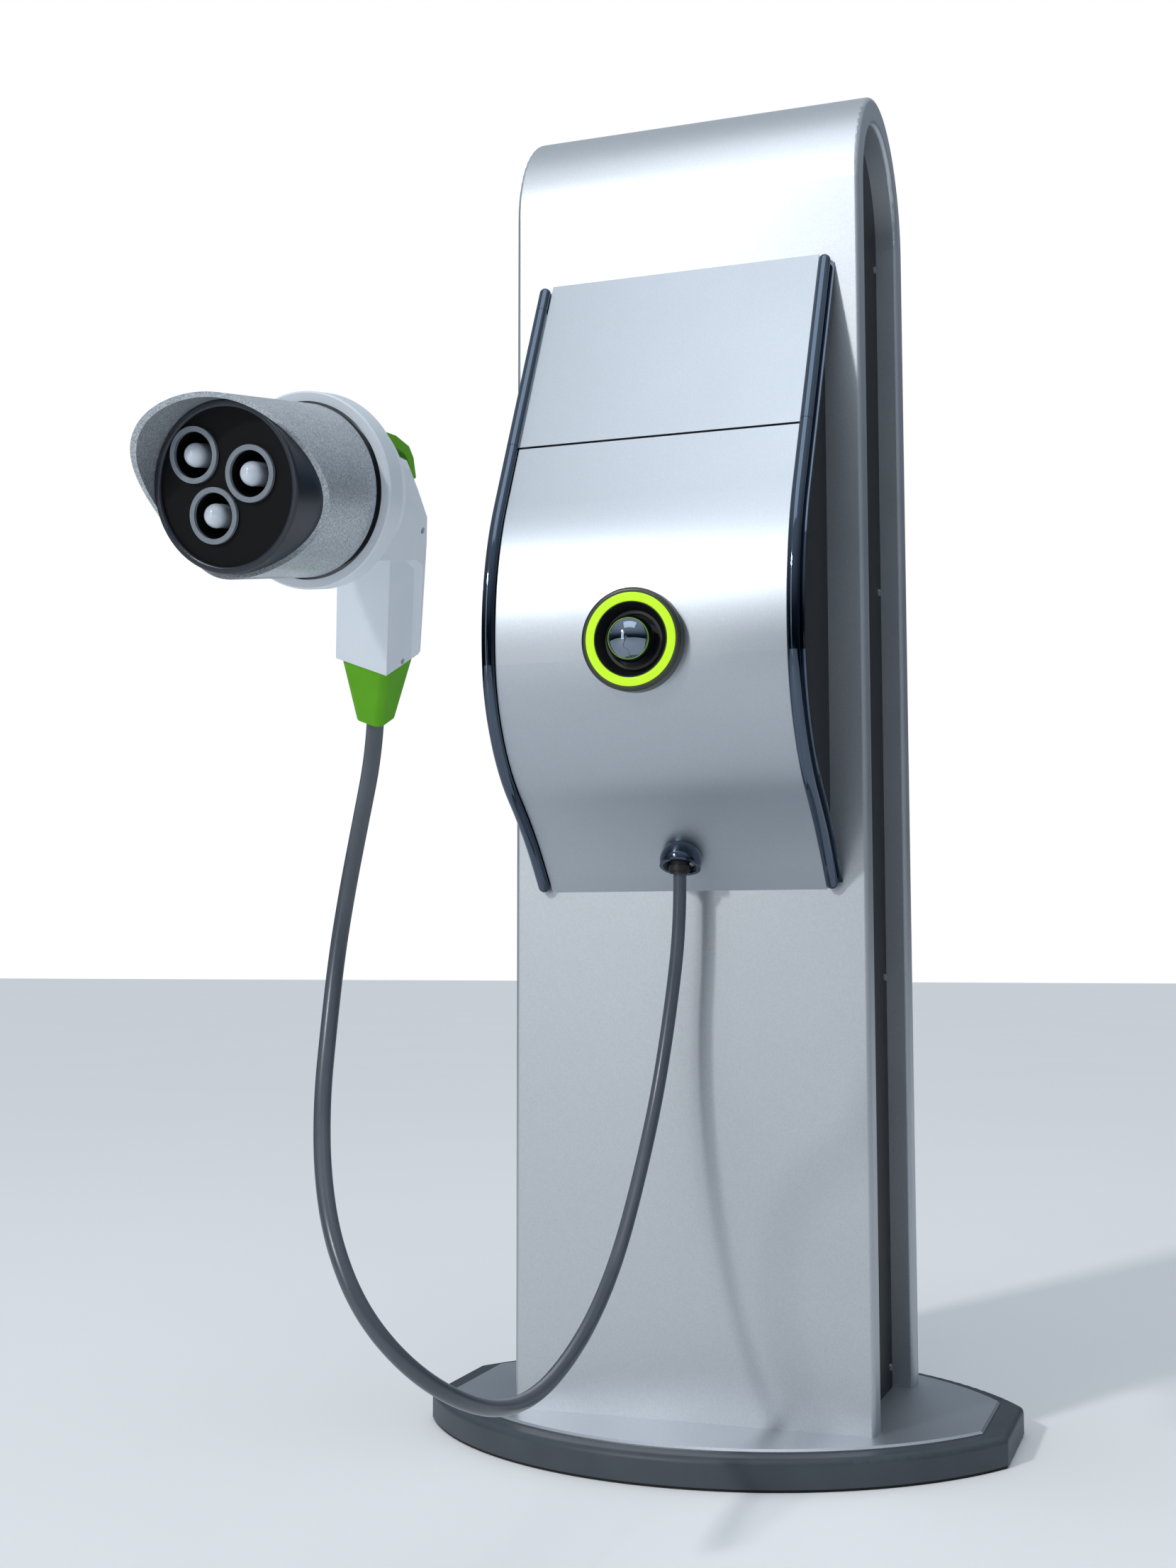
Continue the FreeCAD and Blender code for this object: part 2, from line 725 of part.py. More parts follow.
def gland_hood():
    """Thin dome over the outlet, with a beaded mouth that leans towards the user."""
    lean = math.radians(HOOD_LEAN)
    down = V(0, -math.sin(lean), -math.cos(lean))
    centre = hood_centre()
    mouth = centre + down * HOOD_DEPTH
    shell = Part.makeSphere(HOOD_R, centre).cut(Part.makeSphere(HOOD_R - HOOD_T, centre))
    shell = shell.cut(rod(3 * HOOD_R, mouth, mouth + down * 3 * HOOD_R))
    lip = tube(HOOD_R - 0.6, HOOD_R - 4.2, mouth - down * 2.6, mouth + down * 0.2)
    return cut(shell.fuse(lip), [region(0, -100, 100), gland_body()])


def gland_body():
    out = V(0, -0.743, -0.669)
    centre = V(OUTLET_X, OUTLET_Y, OUTLET_Z + 20)
    drop = rod(10.5, V(OUTLET_X, OUTLET_Y, OUTLET_Z), V(OUTLET_X, OUTLET_Y, OUTLET_Z + 20))
    knee = Part.makeSphere(11.5, centre)
    back = rod(11.5, centre - out * 37, centre)
    body = fuse([drop, knee, back])
    rib = tube(12, 10.5, V(OUTLET_X, OUTLET_Y, OUTLET_Z + 3), V(OUTLET_X, OUTLET_Y, OUTLET_Z + 9))
    return body.fuse(rib)


def gland_locknut():
    out = V(0, -0.743, -0.669)
    centre = V(OUTLET_X, OUTLET_Y, OUTLET_Z + 20)
    corners = []
    side = V(1, 0, 0)
    other = out.cross(side)
    for index in range(7):
        turn = math.radians(60 * index)
        corners.append(centre - out * 33 + side * (18 * math.cos(turn)) + other * (18 * math.sin(turn)))
    nut = Part.Face(Part.makePolygon(corners)).extrude(out * 7)
    return nut.cut(rod(11.5, centre - out * 50, centre))


# ---------------------------------------------------------------- inside the console
def din_rail():
    y1 = FRONT_Y - BACK_T
    web = box(-125, 125, y1 - 5, y1 - 4, 962.5, 997.5)
    low = box(-125, 125, y1 - 7.5, y1 - 5, 962.5, 963.5)
    high = box(-125, 125, y1 - 7.5, y1 - 5, 996.5, 997.5)
    spacers = [box(x - 8, x + 8, y1 - 4, y1, 970, 990) for x in (-100, 0, 100)]
    return fuse([web, low, high] + spacers)


DEVICE_Y = FRONT_Y - BACK_T - 7.5


def module(x0, x1, depth):
    """Rail-mounted device with a stepped front, standing on the DIN rail."""
    low = box(x0, x1, DEVICE_Y - depth + 20, DEVICE_Y, 937, 1023)
    nose = box(x0, x1, DEVICE_Y - depth, DEVICE_Y - depth + 20, 957, 1003)
    screws = []
    step = 17.5
    count = int(round((x1 - x0) / step))
    for index in range(count):
        x = x0 + (index + 0.5) * (x1 - x0) / count
        screws.append(rod(3, V(x, DEVICE_Y - depth + 19, 945), V(x, DEVICE_Y - depth + 24, 945)))
        screws.append(rod(3, V(x, DEVICE_Y - depth + 19, 1015), V(x, DEVICE_Y - depth + 24, 1015)))
    return cut(low.fuse(nose), screws)


BREAKER_X0 = -118.0
BREAKER_X1 = -65.0
BREAKER_DEPTH = 65.0
TOGGLE_Y = DEVICE_Y - BREAKER_DEPTH + 4
TOGGLE_Z = 980.0


def main_breaker():
    body = module(BREAKER_X0, BREAKER_X1, BREAKER_DEPTH)
    well = rod(9.5, V(BREAKER_X0 + 6, TOGGLE_Y, TOGGLE_Z), V(BREAKER_X1 - 6, TOGGLE_Y, TOGGLE_Z))
    bore = rod(2.5 + RUN_CLEAR, V(BREAKER_X0 + 3, TOGGLE_Y, TOGGLE_Z), V(BREAKER_X1 - 3, TOGGLE_Y, TOGGLE_Z))
    return cut(body, [well, bore])


def breaker_toggle():
    x0 = BREAKER_X0 + 6.5
    x1 = BREAKER_X1 - 6.5
    drum = rod(9.0, V(x0, TOGGLE_Y, TOGGLE_Z), V(x1, TOGGLE_Y, TOGGLE_Z))
    pin = rod(2.5, V(BREAKER_X0 + 3.3, TOGGLE_Y, TOGGLE_Z), V(BREAKER_X1 - 3.3, TOGGLE_Y, TOGGLE_Z))
    lever = box(x0, x1, TOGGLE_Y - 20, TOGGLE_Y, TOGGLE_Z + 2, TOGGLE_Z + 8)
    return fuse([drum, pin, lever])


def residual_breaker():
    body = module(-64.5, 5.5, 65)
    button = box(-20, -10, DEVICE_Y - 67, DEVICE_Y - 65, 975, 985)
    return body.fuse(button)


def energy_meter():
    body = module(12, 84, 62)
    window = box(26, 70, DEVICE_Y - 62.1, DEVICE_Y - 60.5, 968, 992)
    return body.cut(window)


def terminal_block():
    y1 = FRONT_Y - BACK_T
    parts = []
    for index in range(8):
        x0 = -100 + index * 10.5
        body = box(x0, x0 + 10, y1 - 44, y1, 738, 782)
        well = rod(2.6, V(x0 + 5, y1 - 46, 772), V(x0 + 5, y1 - 30, 772))
        wire = rod(2.6, V(x0 + 5, y1 - 46, 748), V(x0 + 5, y1 - 20, 748))
        parts.append(cut(body, [well, wire]))
    rail = box(-104, -12, y1 - 3, y1, 730, 737.5)
    return Part.makeCompound(parts + [rail])


def controller_board():
    y1 = FRONT_Y - BACK_T
    board = box(-20, 120, y1 - 14, y1 - 12.4, 800, 915)
    chips = [(0, 40, 820, 860, 3), (55, 80, 830, 860, 9), (90, 112, 810, 900, 14), (5, 30, 875, 905, 6)]
    for x0, x1, z0, z1, tall in chips:
        board = board.fuse(box(x0, x1, y1 - 14 - tall, y1 - 14, z0, z1))
    for x in (-13, 113):
        for z in (807, 908):
            board = board.cut(rod(1.7, V(x, y1 - 20, z), V(x, y1 - 10, z)))
    return board


def board_standoffs():
    y1 = FRONT_Y - BACK_T
    parts = []
    for x in (-13, 113):
        for z in (807, 908):
            post = rod(3.2, V(x, y1 - 12.4, z), V(x, y1, z))
            stud = rod(1.6, V(x, y1 - 17, z), V(x, y1 - 12.4, z))
            parts.append(post.fuse(stud))
    return Part.makeCompound(parts)


def power_supply():
    y1 = FRONT_Y - BACK_T
    body = box(-120, -40, y1 - 45, y1, 805, 905)
    fins = [box(-120 + 8 * i, -117 + 8 * i, y1 - 46, y1 - 38, 812, 898) for i in range(1, 10)]
    return cut(body, fins)


# ---------------------------------------------------------------- connector
def placed(shape):
    spin = FreeCAD.Rotation(V(0, 0, 1), PLUG_YAW)
    nod = FreeCAD.Rotation(V(1, 0, 0), PLUG_PITCH)
    roll = FreeCAD.Rotation(V(0, 1, 0), PLUG_ROLL)
    shape.Placement = FreeCAD.Placement(PLUG_AT, spin.multiply(nod).multiply(roll)).multiply(shape.Placement)
    return shape


def disc(radius, y0, y1, x=0.0, z=0.0):
    return rod(radius, V(x, y0, z), V(x, y1, z))


def ring_y(outer, inner, y0, y1, x=0.0, z=0.0):
    return disc(outer, y0, y1, x, z).cut(disc(inner, y0 - 1, y1 + 1, x, z))


def plug_face():
    body = disc(FACE_R, 3, 40)
    for x, z in PIN_SPOTS:
        body = body.cut(disc(PIN_RING_R - 3.5, 2, 30, x, z))
    return body


def plug_pin_rings():
    rings = [ring_y(PIN_RING_R, PIN_RING_R - 3.5, 0.5, 3, x, z) for x, z in PIN_SPOTS]
    return Part.makeCompound(rings)


def plug_contacts():
    parts = []
    for x, z in PIN_SPOTS:
        shank = disc(CONTACT_R, CONTACT_Y, 30, x, z)
        parts.append(shank.fuse(Part.makeSphere(CONTACT_R, V(x, CONTACT_Y, z))))
    return Part.makeCompound(parts)


def plug_sleeve():
    body = ring_y(RIM_R, FACE_R, 0, SLEEVE_LEN)
    front = [e for e in body.Edges if e.BoundBox.YMax < 0.01]
    return body.makeFillet(1.8, front)


def visor_rim(x, z):
    """How far back the shroud's front edge lies: reaching out at the upper left, cut back at the right."""
    u = x / SHROUD_R
    w = z / SHROUD_R
    slant = VISOR_MID + VISOR_SIDE * u - VISOR_RISE * w
    twist = VISOR_TWIST * 2 * u * w + VISOR_SADDLE * (u * u - w * w)
    return slant + twist + VISOR_NOSE * (u ** 3 - 3 * u * w * w) - VISOR_LIP * (3 * u * u * w - w ** 3)


def visor_tool():
    steps = [-75 + 15 * index for index in range(11)]
    grid = [[V(x, visor_rim(x, z), z) for z in steps] for x in steps]
    surface = Part.BSplineSurface()
    surface.interpolate(grid)
    return surface.toShape().extrude(V(0, -400, 0))


def plug_shroud():
    body = ring_y(SHROUD_R, RIM_R + 0.1, -60, SHROUD_BACK)
    return body.cut(visor_tool())


def plug_collar():
    bore = RIM_R + 0.1
    slot = RIM_R + 5.0
    edge = COLLAR_Y + COLLAR_EDGE
    profile = [
        (slot, COLLAR_Y), (COLLAR_R - 1.2, COLLAR_Y), (COLLAR_R, COLLAR_Y + 1.2), (COLLAR_R, edge),
        (COLLAR_R - 9, COLLAR_BACK), (0, COLLAR_BACK), (0, SLEEVE_LEN + 0.5), (bore, SLEEVE_LEN + 0.5),
        (bore, COLLAR_Y + 10), (slot, COLLAR_Y + 10),
    ]
    corners = [V(r, y, 0) for r, y in profile]
    face = Part.Face(Part.makePolygon(corners + [corners[0]]))
    return face.revolve(V(0, 0, 0), V(0, 1, 0), 360)


def grip_point(along, across):
    """Side-view point on the grip: along runs down it, across runs to its back."""
    lean = math.radians(GRIP_LEAN)
    y = 225.5 + math.sin(lean) * along + math.cos(lean) * across
    z = -137.1 - math.cos(lean) * along + math.sin(lean) * across
    return (y, z)


def side_profile(points, x0, x1, radius=0.0):
    body = prism_x(points, x0, x1)
    if radius:
        body = rounded(body, radius, lambda e: e.BoundBox.XLength > abs(x1 - x0) - 0.1)
    return body


def handle_solid():
    y0 = COLLAR_BACK
    grip = [grip_point(-100, 0), grip_point(0, 0), grip_point(0, GRIP_D), grip_point(-100, GRIP_D)]
    grip_box = side_profile(grip, -GRIP_HALF, GRIP_HALF)
    spine = [
        (y0, -43.0),
        (y0, 40.0),
        (157.0, 37.0),
        (186.0, 31.0),
        (209.0, 12.0),
        (229.0, -6.0),
        (238.0, -28.0),
        grip_point(0, GRIP_D),
        grip_point(0, GRIP_D - 13),
        grip_point(-78, GRIP_D - 13),
        (205.0, -43.0),
    ]
    body = side_profile(spine, -SPINE_HALF, SPINE_HALF)
    edges = []
    for edge in body.Edges:
        size = edge.BoundBox
        outer = abs(abs(size.XMin) - SPINE_HALF) < 0.01 and size.XLength < 0.01
        if outer and size.YMin > y0 + 0.1:
            edges.append(edge)
    body = body.makeChamfer(SPINE_BEVEL, edges)
    return body.fuse(grip_box)


TRIGGER_PIN = (147.0, 40.0)


def handle_cavity():
    lean_in = [grip_point(-104, 6), grip_point(-6, 6), grip_point(-6, GRIP_D - 8), grip_point(-104, GRIP_D - 8)]
    tall = side_profile(lean_in, -18, 18)
    room = box(-18, 18, COLLAR_BACK - 10, 205, -36, 22)
    return tall.fuse(room)


def handle_half(side):
    body = handle_solid()
    half = box(0, 60, 60, 360, -260, 120) if side > 0 else box(-60, 0, 60, 360, -260, 120)
    body = body.common(half)
    slot = box(-13.5, 13.5, 130, 196, 24, 60)
    exit_hole = cord_axis_rod(CORD_R + 0.5, -20, 5)
    screws = [rod(2.6, V(-60, y, z), V(60, y, z)) for y, z in handle_screw_spots()]
    body = cut(body, [handle_cavity(), slot, exit_hole] + screws)
    pin = rod(1.6, V(-22, *TRIGGER_PIN), V(22, *TRIGGER_PIN))
    return body.cut(pin).fuse(side_boss(side))


def handle_screw_spots():
    return [(150.0, -40.0), (222.0, -20.0), grip_point(-3, 23)]


def handle_screws():
    parts = []
    for y, z in handle_screw_spots():
        head = rod(2.5, V(18, y, z), V(21.5, y, z))
        shank = rod(1.5, V(-17, y, z), V(18, y, z))
        parts.append(head.fuse(shank))
    return Part.makeCompound(parts)


def side_boss(side):
    x0 = side * SPINE_HALF
    points = [(134, -34), (134, 16), (168, 12), (196, -6), (198, -30), (190, -36)]
    body = prism_x(points, min(x0, x0 + side * 3.0), max(x0, x0 + side * 3.0))
    return body


def plug_trigger():
    outer = [(137.0, 49.5), (163.0, 49.0), (179.0, 47.0), (201.0, 40.0), (211.0, 32.0), (221.5, 17.0)]
    inner = [(216.5, 14.5), (206.0, 28.0), (197.5, 34.0), (178.0, 39.5), (162.0, 41.0), (150.0, 35.5), (137.0, 36.5)]
    body = side_profile(outer + inner, -13, 13)
    bore = rod(1.6 + RUN_CLEAR, V(-20, *TRIGGER_PIN), V(20, *TRIGGER_PIN))
    return body.cut(bore)


def trigger_pin():
    return rod(1.6, V(-21, *TRIGGER_PIN), V(21, *TRIGGER_PIN))


def cord_axis_rod(radius, s0, s1, shape="rod", radius2=None):
    lean = math.radians(GRIP_LEAN)
    y, z = grip_point(0, GRIP_D / 2)
    down = V(0, math.sin(lean), -math.cos(lean))
    start = V(0, y, z) + down * s0
    if shape == "cone":
        return Part.makeCone(radius, radius2, s1 - s0, start, down)
    return rod(radius, start, start + down * (s1 - s0))


def strain_relief():
    lean = math.radians(GRIP_LEAN)
    y, z = grip_point(0, GRIP_D / 2)
    down = V(0, math.sin(lean), -math.cos(lean))
    across = V(0, math.cos(lean), math.sin(lean))
    middle = V(0, y, z)
    loops = []
    for s, half_x, half_y in ((0.0, 22.0, 21.5), (56.0, 12.5, 13.0)):
        centre = middle + down * s
        corners = []
        for cx, cy in ((-1, -1), (1, -1), (1, 1), (-1, 1)):
            corners.append(centre + V(cx * half_x, 0, 0) + across * (cy * half_y))
        loops.append(Part.makePolygon(corners + [corners[0]]))
    body = Part.makeLoft(loops, True, True)
    long_edges = [e for e in body.Edges if e.Length > 50]
    body = body.makeFillet(7.0, long_edges)
    return body.cut(cord_axis_rod(CORD_R, -5, 80))


def trigger_spring():
    coil = Part.makeHelix(2.4, 14.4, 3.2)
    profile = Part.Wire([Part.makeCircle(0.45, V(3.2, 0, 0), V(0, 1, 0))])
    body = Part.Wire(coil.Edges).makePipeShell([profile], True, True)
    body.translate(V(0, 172, 24.8))
    return body


# ---------------------------------------------------------------- cord
def cord_wire():
    points = [V(*p) for p in CORD_POINTS]
    edges = []
    radii = []
    last = points[0]
    for before, corner, after in zip(points[:-2], points[1:-1], points[2:]):
        a = corner - before
        b = after - corner
        turn = a.getAngle(b)
        cut_back = 0.45 * min(a.Length, b.Length)
        radii.append(cut_back / math.tan(turn / 2))
        a.normalize()
        b.normalize()
        start = corner - a * cut_back
        end = corner + b * cut_back
        chord_mid = (start + end) * 0.5
        inward = chord_mid - corner
        inward.normalize()
        sag = radii[-1] / math.cos(turn / 2) - radii[-1]
        middle = corner + inward * sag
        edges.append(Part.LineSegment(last, start).toShape())
        edges.append(Part.Arc(start, middle, end).toShape())
        last = end
    edges.append(Part.LineSegment(last, points[-1]).toShape())
    print("cord radii", [round(r) for r in radii], "least", round(min(radii)))
    return Part.Wire(edges)


def cord_tube():
    wire = cord_wire()
    first = V(*CORD_POINTS[0])
    second = V(*CORD_POINTS[1])
    profile = Part.Wire([Part.makeCircle(CORD_R, first, second - first)])
    body = wire.makePipeShell([profile], True, True)
    expect = math.pi * CORD_R ** 2 * wire.Length
    print("cord length", round(wire.Length, 1), "volume ratio", round(body.Volume / expect, 4))
    return body


# ---------------------------------------------------------------- build
def build():
    save("base_gasket", base_gasket())
    save("foot_plate", foot_plate())
    save("base_plinth", base_plinth())
    save("base_top_plate", base_top_plate())
    save("leg_spigots", Part.makeCompound(leg_spigots()))
    save("hairpin_shell", hairpin_shell())
    save("leg_screws", leg_screws())
    save("core_liner", core_liner())
    save("core_cover_left", core_cover(-1))
    save("core_cover_right", core_cover(1))
    save("cover_screws", cover_screws())
    save("supply_conduit", supply_conduit())
    save("conduit_clips", conduit_clips())
    save("conduit_grommet", conduit_grommet())
    save("console_housing", console_housing())
    save("console_screws", console_screws())
    save("front_panel", front_panel())
    save("flap_panel", flap_panel())
    save("rail_left_lower", rail_left_lower())
    save("rail_left_upper", rail_left_upper())
    save("rail_left_stub", rail_left_stub())
    save("hinge_pins", hinge_pins())
    save("rail_right_lower", rail_right_lower())
    save("rail_right_upper", rail_right_upper())
    save("side_trims", Part.makeCompound([side_trim(-1), side_trim(1)]))
    save("flap_catches", flap_catches())
    save("ring_housing", ring_housing())
    save("ring_light", ring_light())
    save("ring_cup", ring_cup())
    save("push_knob", push_knob())
    save("knob_spring", knob_spring())
    save("switch_carrier", switch_carrier())
    save("switch_block", switch_block())
    save("ring_locknut", ring_locknut())
    save("gland_hood", gland_hood())
    save("gland_body", gland_body())
    save("gland_locknut", gland_locknut())
    save("din_rail", din_rail())
    save("main_breaker", main_breaker())
    save("breaker_toggle", breaker_toggle())
    save("residual_breaker", residual_breaker())
    save("energy_meter", energy_meter())
    save("terminal_block", terminal_block())
    save("controller_board", controller_board())
    save("board_standoffs", board_standoffs())
    save("power_supply", power_supply())
    save("plug_face", placed(plug_face()))
    save("plug_pin_rings", placed(plug_pin_rings()))
    save("plug_contacts", placed(plug_contacts()))
    save("plug_sleeve", placed(plug_sleeve()))
    save("plug_shroud", placed(plug_shroud()))
    save("plug_collar", placed(plug_collar()))
    save("handle_left", placed(handle_half(-1)))
    save("handle_right", placed(handle_half(1)))
    save("handle_screws", placed(handle_screws()))
    save("plug_trigger", placed(plug_trigger()))
    save("trigger_pin", placed(trigger_pin()))
    save("trigger_spring", placed(trigger_spring()))
    save("strain_relief", placed(strain_relief()))
    save("cord_tube", cord_tube())


build()
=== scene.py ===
# %% [markdown]
# # A charging post with a corded connector
# The metal, moulded and turned parts arrive as one measured model, already
# grouped into bodies that move. This lesson dresses that model: a camera, a
# flexible cord, a finish for every part, then light. The measured parts are
# never moved, because their joints depend on where they are.

# %% Load the measured model
import bpy
import math
from mathutils import Euler, Matrix, Vector


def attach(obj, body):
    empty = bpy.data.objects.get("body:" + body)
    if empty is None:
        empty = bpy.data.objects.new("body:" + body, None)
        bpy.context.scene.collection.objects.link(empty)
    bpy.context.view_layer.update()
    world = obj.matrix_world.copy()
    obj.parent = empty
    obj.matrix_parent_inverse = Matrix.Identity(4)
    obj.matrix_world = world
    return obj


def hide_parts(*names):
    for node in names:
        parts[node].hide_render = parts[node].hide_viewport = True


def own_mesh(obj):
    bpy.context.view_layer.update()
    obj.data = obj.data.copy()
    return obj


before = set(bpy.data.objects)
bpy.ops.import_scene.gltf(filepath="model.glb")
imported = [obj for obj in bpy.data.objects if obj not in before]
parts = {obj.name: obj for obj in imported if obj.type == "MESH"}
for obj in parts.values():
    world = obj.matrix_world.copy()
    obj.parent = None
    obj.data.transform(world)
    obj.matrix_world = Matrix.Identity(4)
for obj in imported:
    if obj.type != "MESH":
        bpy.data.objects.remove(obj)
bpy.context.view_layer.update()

# %% [markdown]
# ## The camera
# The post is seen from about two metres away and from below its middle, with
# a normal lens. A camera in Blender looks along its own -Z axis, so tilting it
# up by 90 degrees makes it level, and a few more make it look up. It stands to
# the right of the post, so the turn about Z points it back to the left.

# %% Camera
lens_mm = 43.66
look_up = math.radians(90 + 5.019)
side_tilt = math.radians(0.066)
look_left = math.radians(19.246)
camera_data = bpy.data.cameras.new("studio_camera")
camera_data.lens = lens_mm
camera_data.sensor_width = 36.0
camera = bpy.data.objects.new("studio_camera", camera_data)
camera.location = (0.5772, -2.1091, 0.5307)
camera.rotation_euler = Euler((look_up, side_tilt, look_left))
bpy.context.scene.collection.objects.link(camera)
bpy.context.scene.camera = camera
print("camera", tuple(camera.location), "lens", lens_mm)

# %% [markdown]
# ## The cord
# A charging cord is a 14 mm rubber hose full of copper. It drops straight out
# of its outlet, swings out in one open loop and climbs to the handle. A NURBS
# curve suits it: its control points pull on the line like hands on a hose, so
# the line never kinks. The order is set after the points, because Blender
# resets it while a spline is still short.

# %% Cord route and thickness
cord_diameter = 0.014
cord_points = [
    (0.0050, -0.1750, 0.6120),
    (0.0050, -0.1750, 0.5560),
    (-0.0040, -0.1820, 0.4680),
    (-0.0120, -0.2050, 0.3800),
    (-0.0190, -0.2460, 0.3000),
    (-0.0220, -0.3030, 0.2320),
    (-0.0220, -0.3770, 0.1860),
    (-0.0200, -0.4600, 0.1600),
    (-0.0160, -0.5470, 0.1500),
    (-0.0140, -0.6320, 0.1570),
    (-0.0220, -0.7040, 0.1800),
    (-0.0440, -0.7520, 0.2140),
    (-0.0740, -0.7700, 0.2560),
    (-0.1030, -0.7600, 0.3040),
    (-0.1270, -0.7330, 0.3540),
    (-0.1450, -0.7000, 0.4100),
    (-0.1520, -0.6750, 0.4680),
    (-0.1530, -0.6600, 0.5260),
    (-0.1450, -0.6580, 0.5800),
    (-0.1270, -0.6720, 0.6340),
    (-0.0931, -0.7145, 0.6944),
    (-0.0814, -0.7370, 0.7279),
]
cord_curve = bpy.data.curves.new("charging_cord", "CURVE")
cord_curve.dimensions = "3D"
route = cord_curve.splines.new("NURBS")
route.points.add(len(cord_points) - 1)
for point, place in zip(route.points, cord_points):
    point.co = (*place, 1.0)
    point.radius = cord_diameter / 2
route.order_u = 3
route.use_endpoint_u = True
route.resolution_u = 12
cord_curve.bevel_depth = 1.0
cord_curve.bevel_resolution = 8
cord_curve.use_fill_caps = True
charging_cord = bpy.data.objects.new("charging_cord", cord_curve)
bpy.context.scene.collection.objects.link(charging_cord)
print("route of order", route.order_u, "through", len(route.points), "points")

# %% The cord takes the place of its plain tube
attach(charging_cord, "post")
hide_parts("cord_tube")
print(charging_cord.name, "stands for the plain tube")

# %% [markdown]
# ## Small helpers
# Colours are chosen as they look on a screen, but a renderer adds light in
# linear numbers, so one function turns a hex colour into those. The next adds
# a shader node, sets it up, and fills or links its inputs, which keeps each
# material below down to what is special about it. The last three start a new
# finish, put it on parts, and turn a size in millimetres into a texture scale.

# %% Colour and node helpers
def linear(hex_colour):
    channels = [int(hex_colour[i:i + 2], 16) / 255 for i in (1, 3, 5)]
    made = [c / 12.92 if c <= 0.04045 else ((c + 0.055) / 1.055) ** 2.4 for c in channels]
    return (*made, 1.0)


def add_node(tree, kind, inputs=None, **settings):
    made = tree.nodes.new(kind)
    for name, value in settings.items():
        setattr(made, name, value)
    for name, value in (inputs or {}).items():
        if isinstance(value, bpy.types.NodeSocket):
            tree.links.new(value, made.inputs[name])
        else:
            made.inputs[name].default_value = value
    return made


def new_finish(name, **surface):
    finish = bpy.data.materials.new(name)
    finish.use_nodes = True
    shader = finish.node_tree.nodes["Principled BSDF"]
    for socket, value in surface.items():
        shader.inputs[socket.replace("_", " ")].default_value = value
    return finish, finish.node_tree, shader


def dress(finish, *names):
    for name in names:
        parts[name].data.materials.clear()
        parts[name].data.materials.append(finish)
    print(finish.name, "on", len(names), "parts")


def per_mm(size_mm):
    return 1000.0 / size_mm


print("mid grey in linear numbers", linear("#808080")[0])


# %% [markdown]
# ## Satin anodised aluminium
# The hairpin and the top plate of its base are aluminium, rubbed with a fine
# abrasive and then anodised. Rubbing leaves scratches a few hundredths of a
# millimetre apart, too fine to show at this distance, so they are drawn 0.6 mm
# apart and 25 mm long. They widen the highlight across the rub, which the eye
# reads as satin. A slow change of roughness over 150 mm stands for handling.

# %% Satin anodised aluminium
satin_aluminium, tree, shader = new_finish(
    "anodised_aluminium_satin", Metallic=1.0, Roughness=0.44)
place = add_node(tree, "ShaderNodeTexCoord").outputs["Object"]
rubbing = add_node(tree, "ShaderNodeMapping", {
    "Vector": place, "Scale": (per_mm(0.6), per_mm(0.6), per_mm(25))})
scratches = add_node(tree, "ShaderNodeTexNoise", {
    "Vector": rubbing.outputs["Vector"], "Scale": 1.0, "Detail": 2.0})
handling = add_node(tree, "ShaderNodeTexNoise", {"Vector": place, "Scale": per_mm(150), "Detail": 3.0})
grain = add_node(tree, "ShaderNodeTexNoise", {"Vector": place, "Scale": per_mm(1.2), "Detail": 2.0})
tone = add_node(tree, "ShaderNodeMapRange", {
    "Value": handling.outputs["Fac"], "From Min": 0.3, "From Max": 0.7, "To Min": 0.4,
    "To Max": 0.45})
rough = add_node(tree, "ShaderNodeMath", {
    0: scratches.outputs["Fac"], 1: 0.06, 2: tone.outputs["Result"]}, operation="MULTIPLY_ADD")
colour = add_node(tree, "ShaderNodeValToRGB", {"Fac": grain.outputs["Fac"]})
colour.color_ramp.elements[0].position = 0.25
colour.color_ramp.elements[1].position = 0.75
colour.color_ramp.elements[0].color = linear("#b6bbc1")
colour.color_ramp.elements[1].color = linear("#c3c8cd")
relief = add_node(tree, "ShaderNodeBump", {
    "Height": scratches.outputs["Fac"], "Strength": 0.06, "Distance": 0.0002})
tree.links.new(rough.outputs["Value"], shader.inputs["Roughness"])
tree.links.new(colour.outputs["Color"], shader.inputs["Base Color"])
tree.links.new(relief.outputs["Normal"], shader.inputs["Normal"])
dress(satin_aluminium, "hairpin_shell", "base_top_plate")

# %% [markdown]
# ## Console sheet
# The console's two front sheets are the same metal with a finer rub and a
# cooler anodising. They are a little smoother than the hairpin, so the rolled
# front shows a bright band that fades evenly above and below. The rub runs
# across the sheet here, and its scratches are drawn 0.5 mm apart.

# %% Console aluminium
console_aluminium, tree, shader = new_finish(
    "anodised_aluminium_console", Metallic=1.0, Roughness=0.33)
place = add_node(tree, "ShaderNodeTexCoord").outputs["Object"]
rubbing = add_node(tree, "ShaderNodeMapping", {
    "Vector": place, "Scale": (per_mm(22), per_mm(0.5), per_mm(0.5))})
scratches = add_node(tree, "ShaderNodeTexNoise", {
    "Vector": rubbing.outputs["Vector"], "Scale": 1.0, "Detail": 2.0})
grain = add_node(tree, "ShaderNodeTexNoise", {"Vector": place, "Scale": per_mm(1.0), "Detail": 2.0})
handling = add_node(tree, "ShaderNodeTexNoise", {"Vector": place, "Scale": per_mm(110), "Detail": 3.0})
tone = add_node(tree, "ShaderNodeMapRange", {
    "Value": handling.outputs["Fac"], "From Min": 0.3, "From Max": 0.7, "To Min": 0.37,
    "To Max": 0.4})
rough = add_node(tree, "ShaderNodeMath", {
    0: scratches.outputs["Fac"], 1: 0.05, 2: tone.outputs["Result"]}, operation="MULTIPLY_ADD")
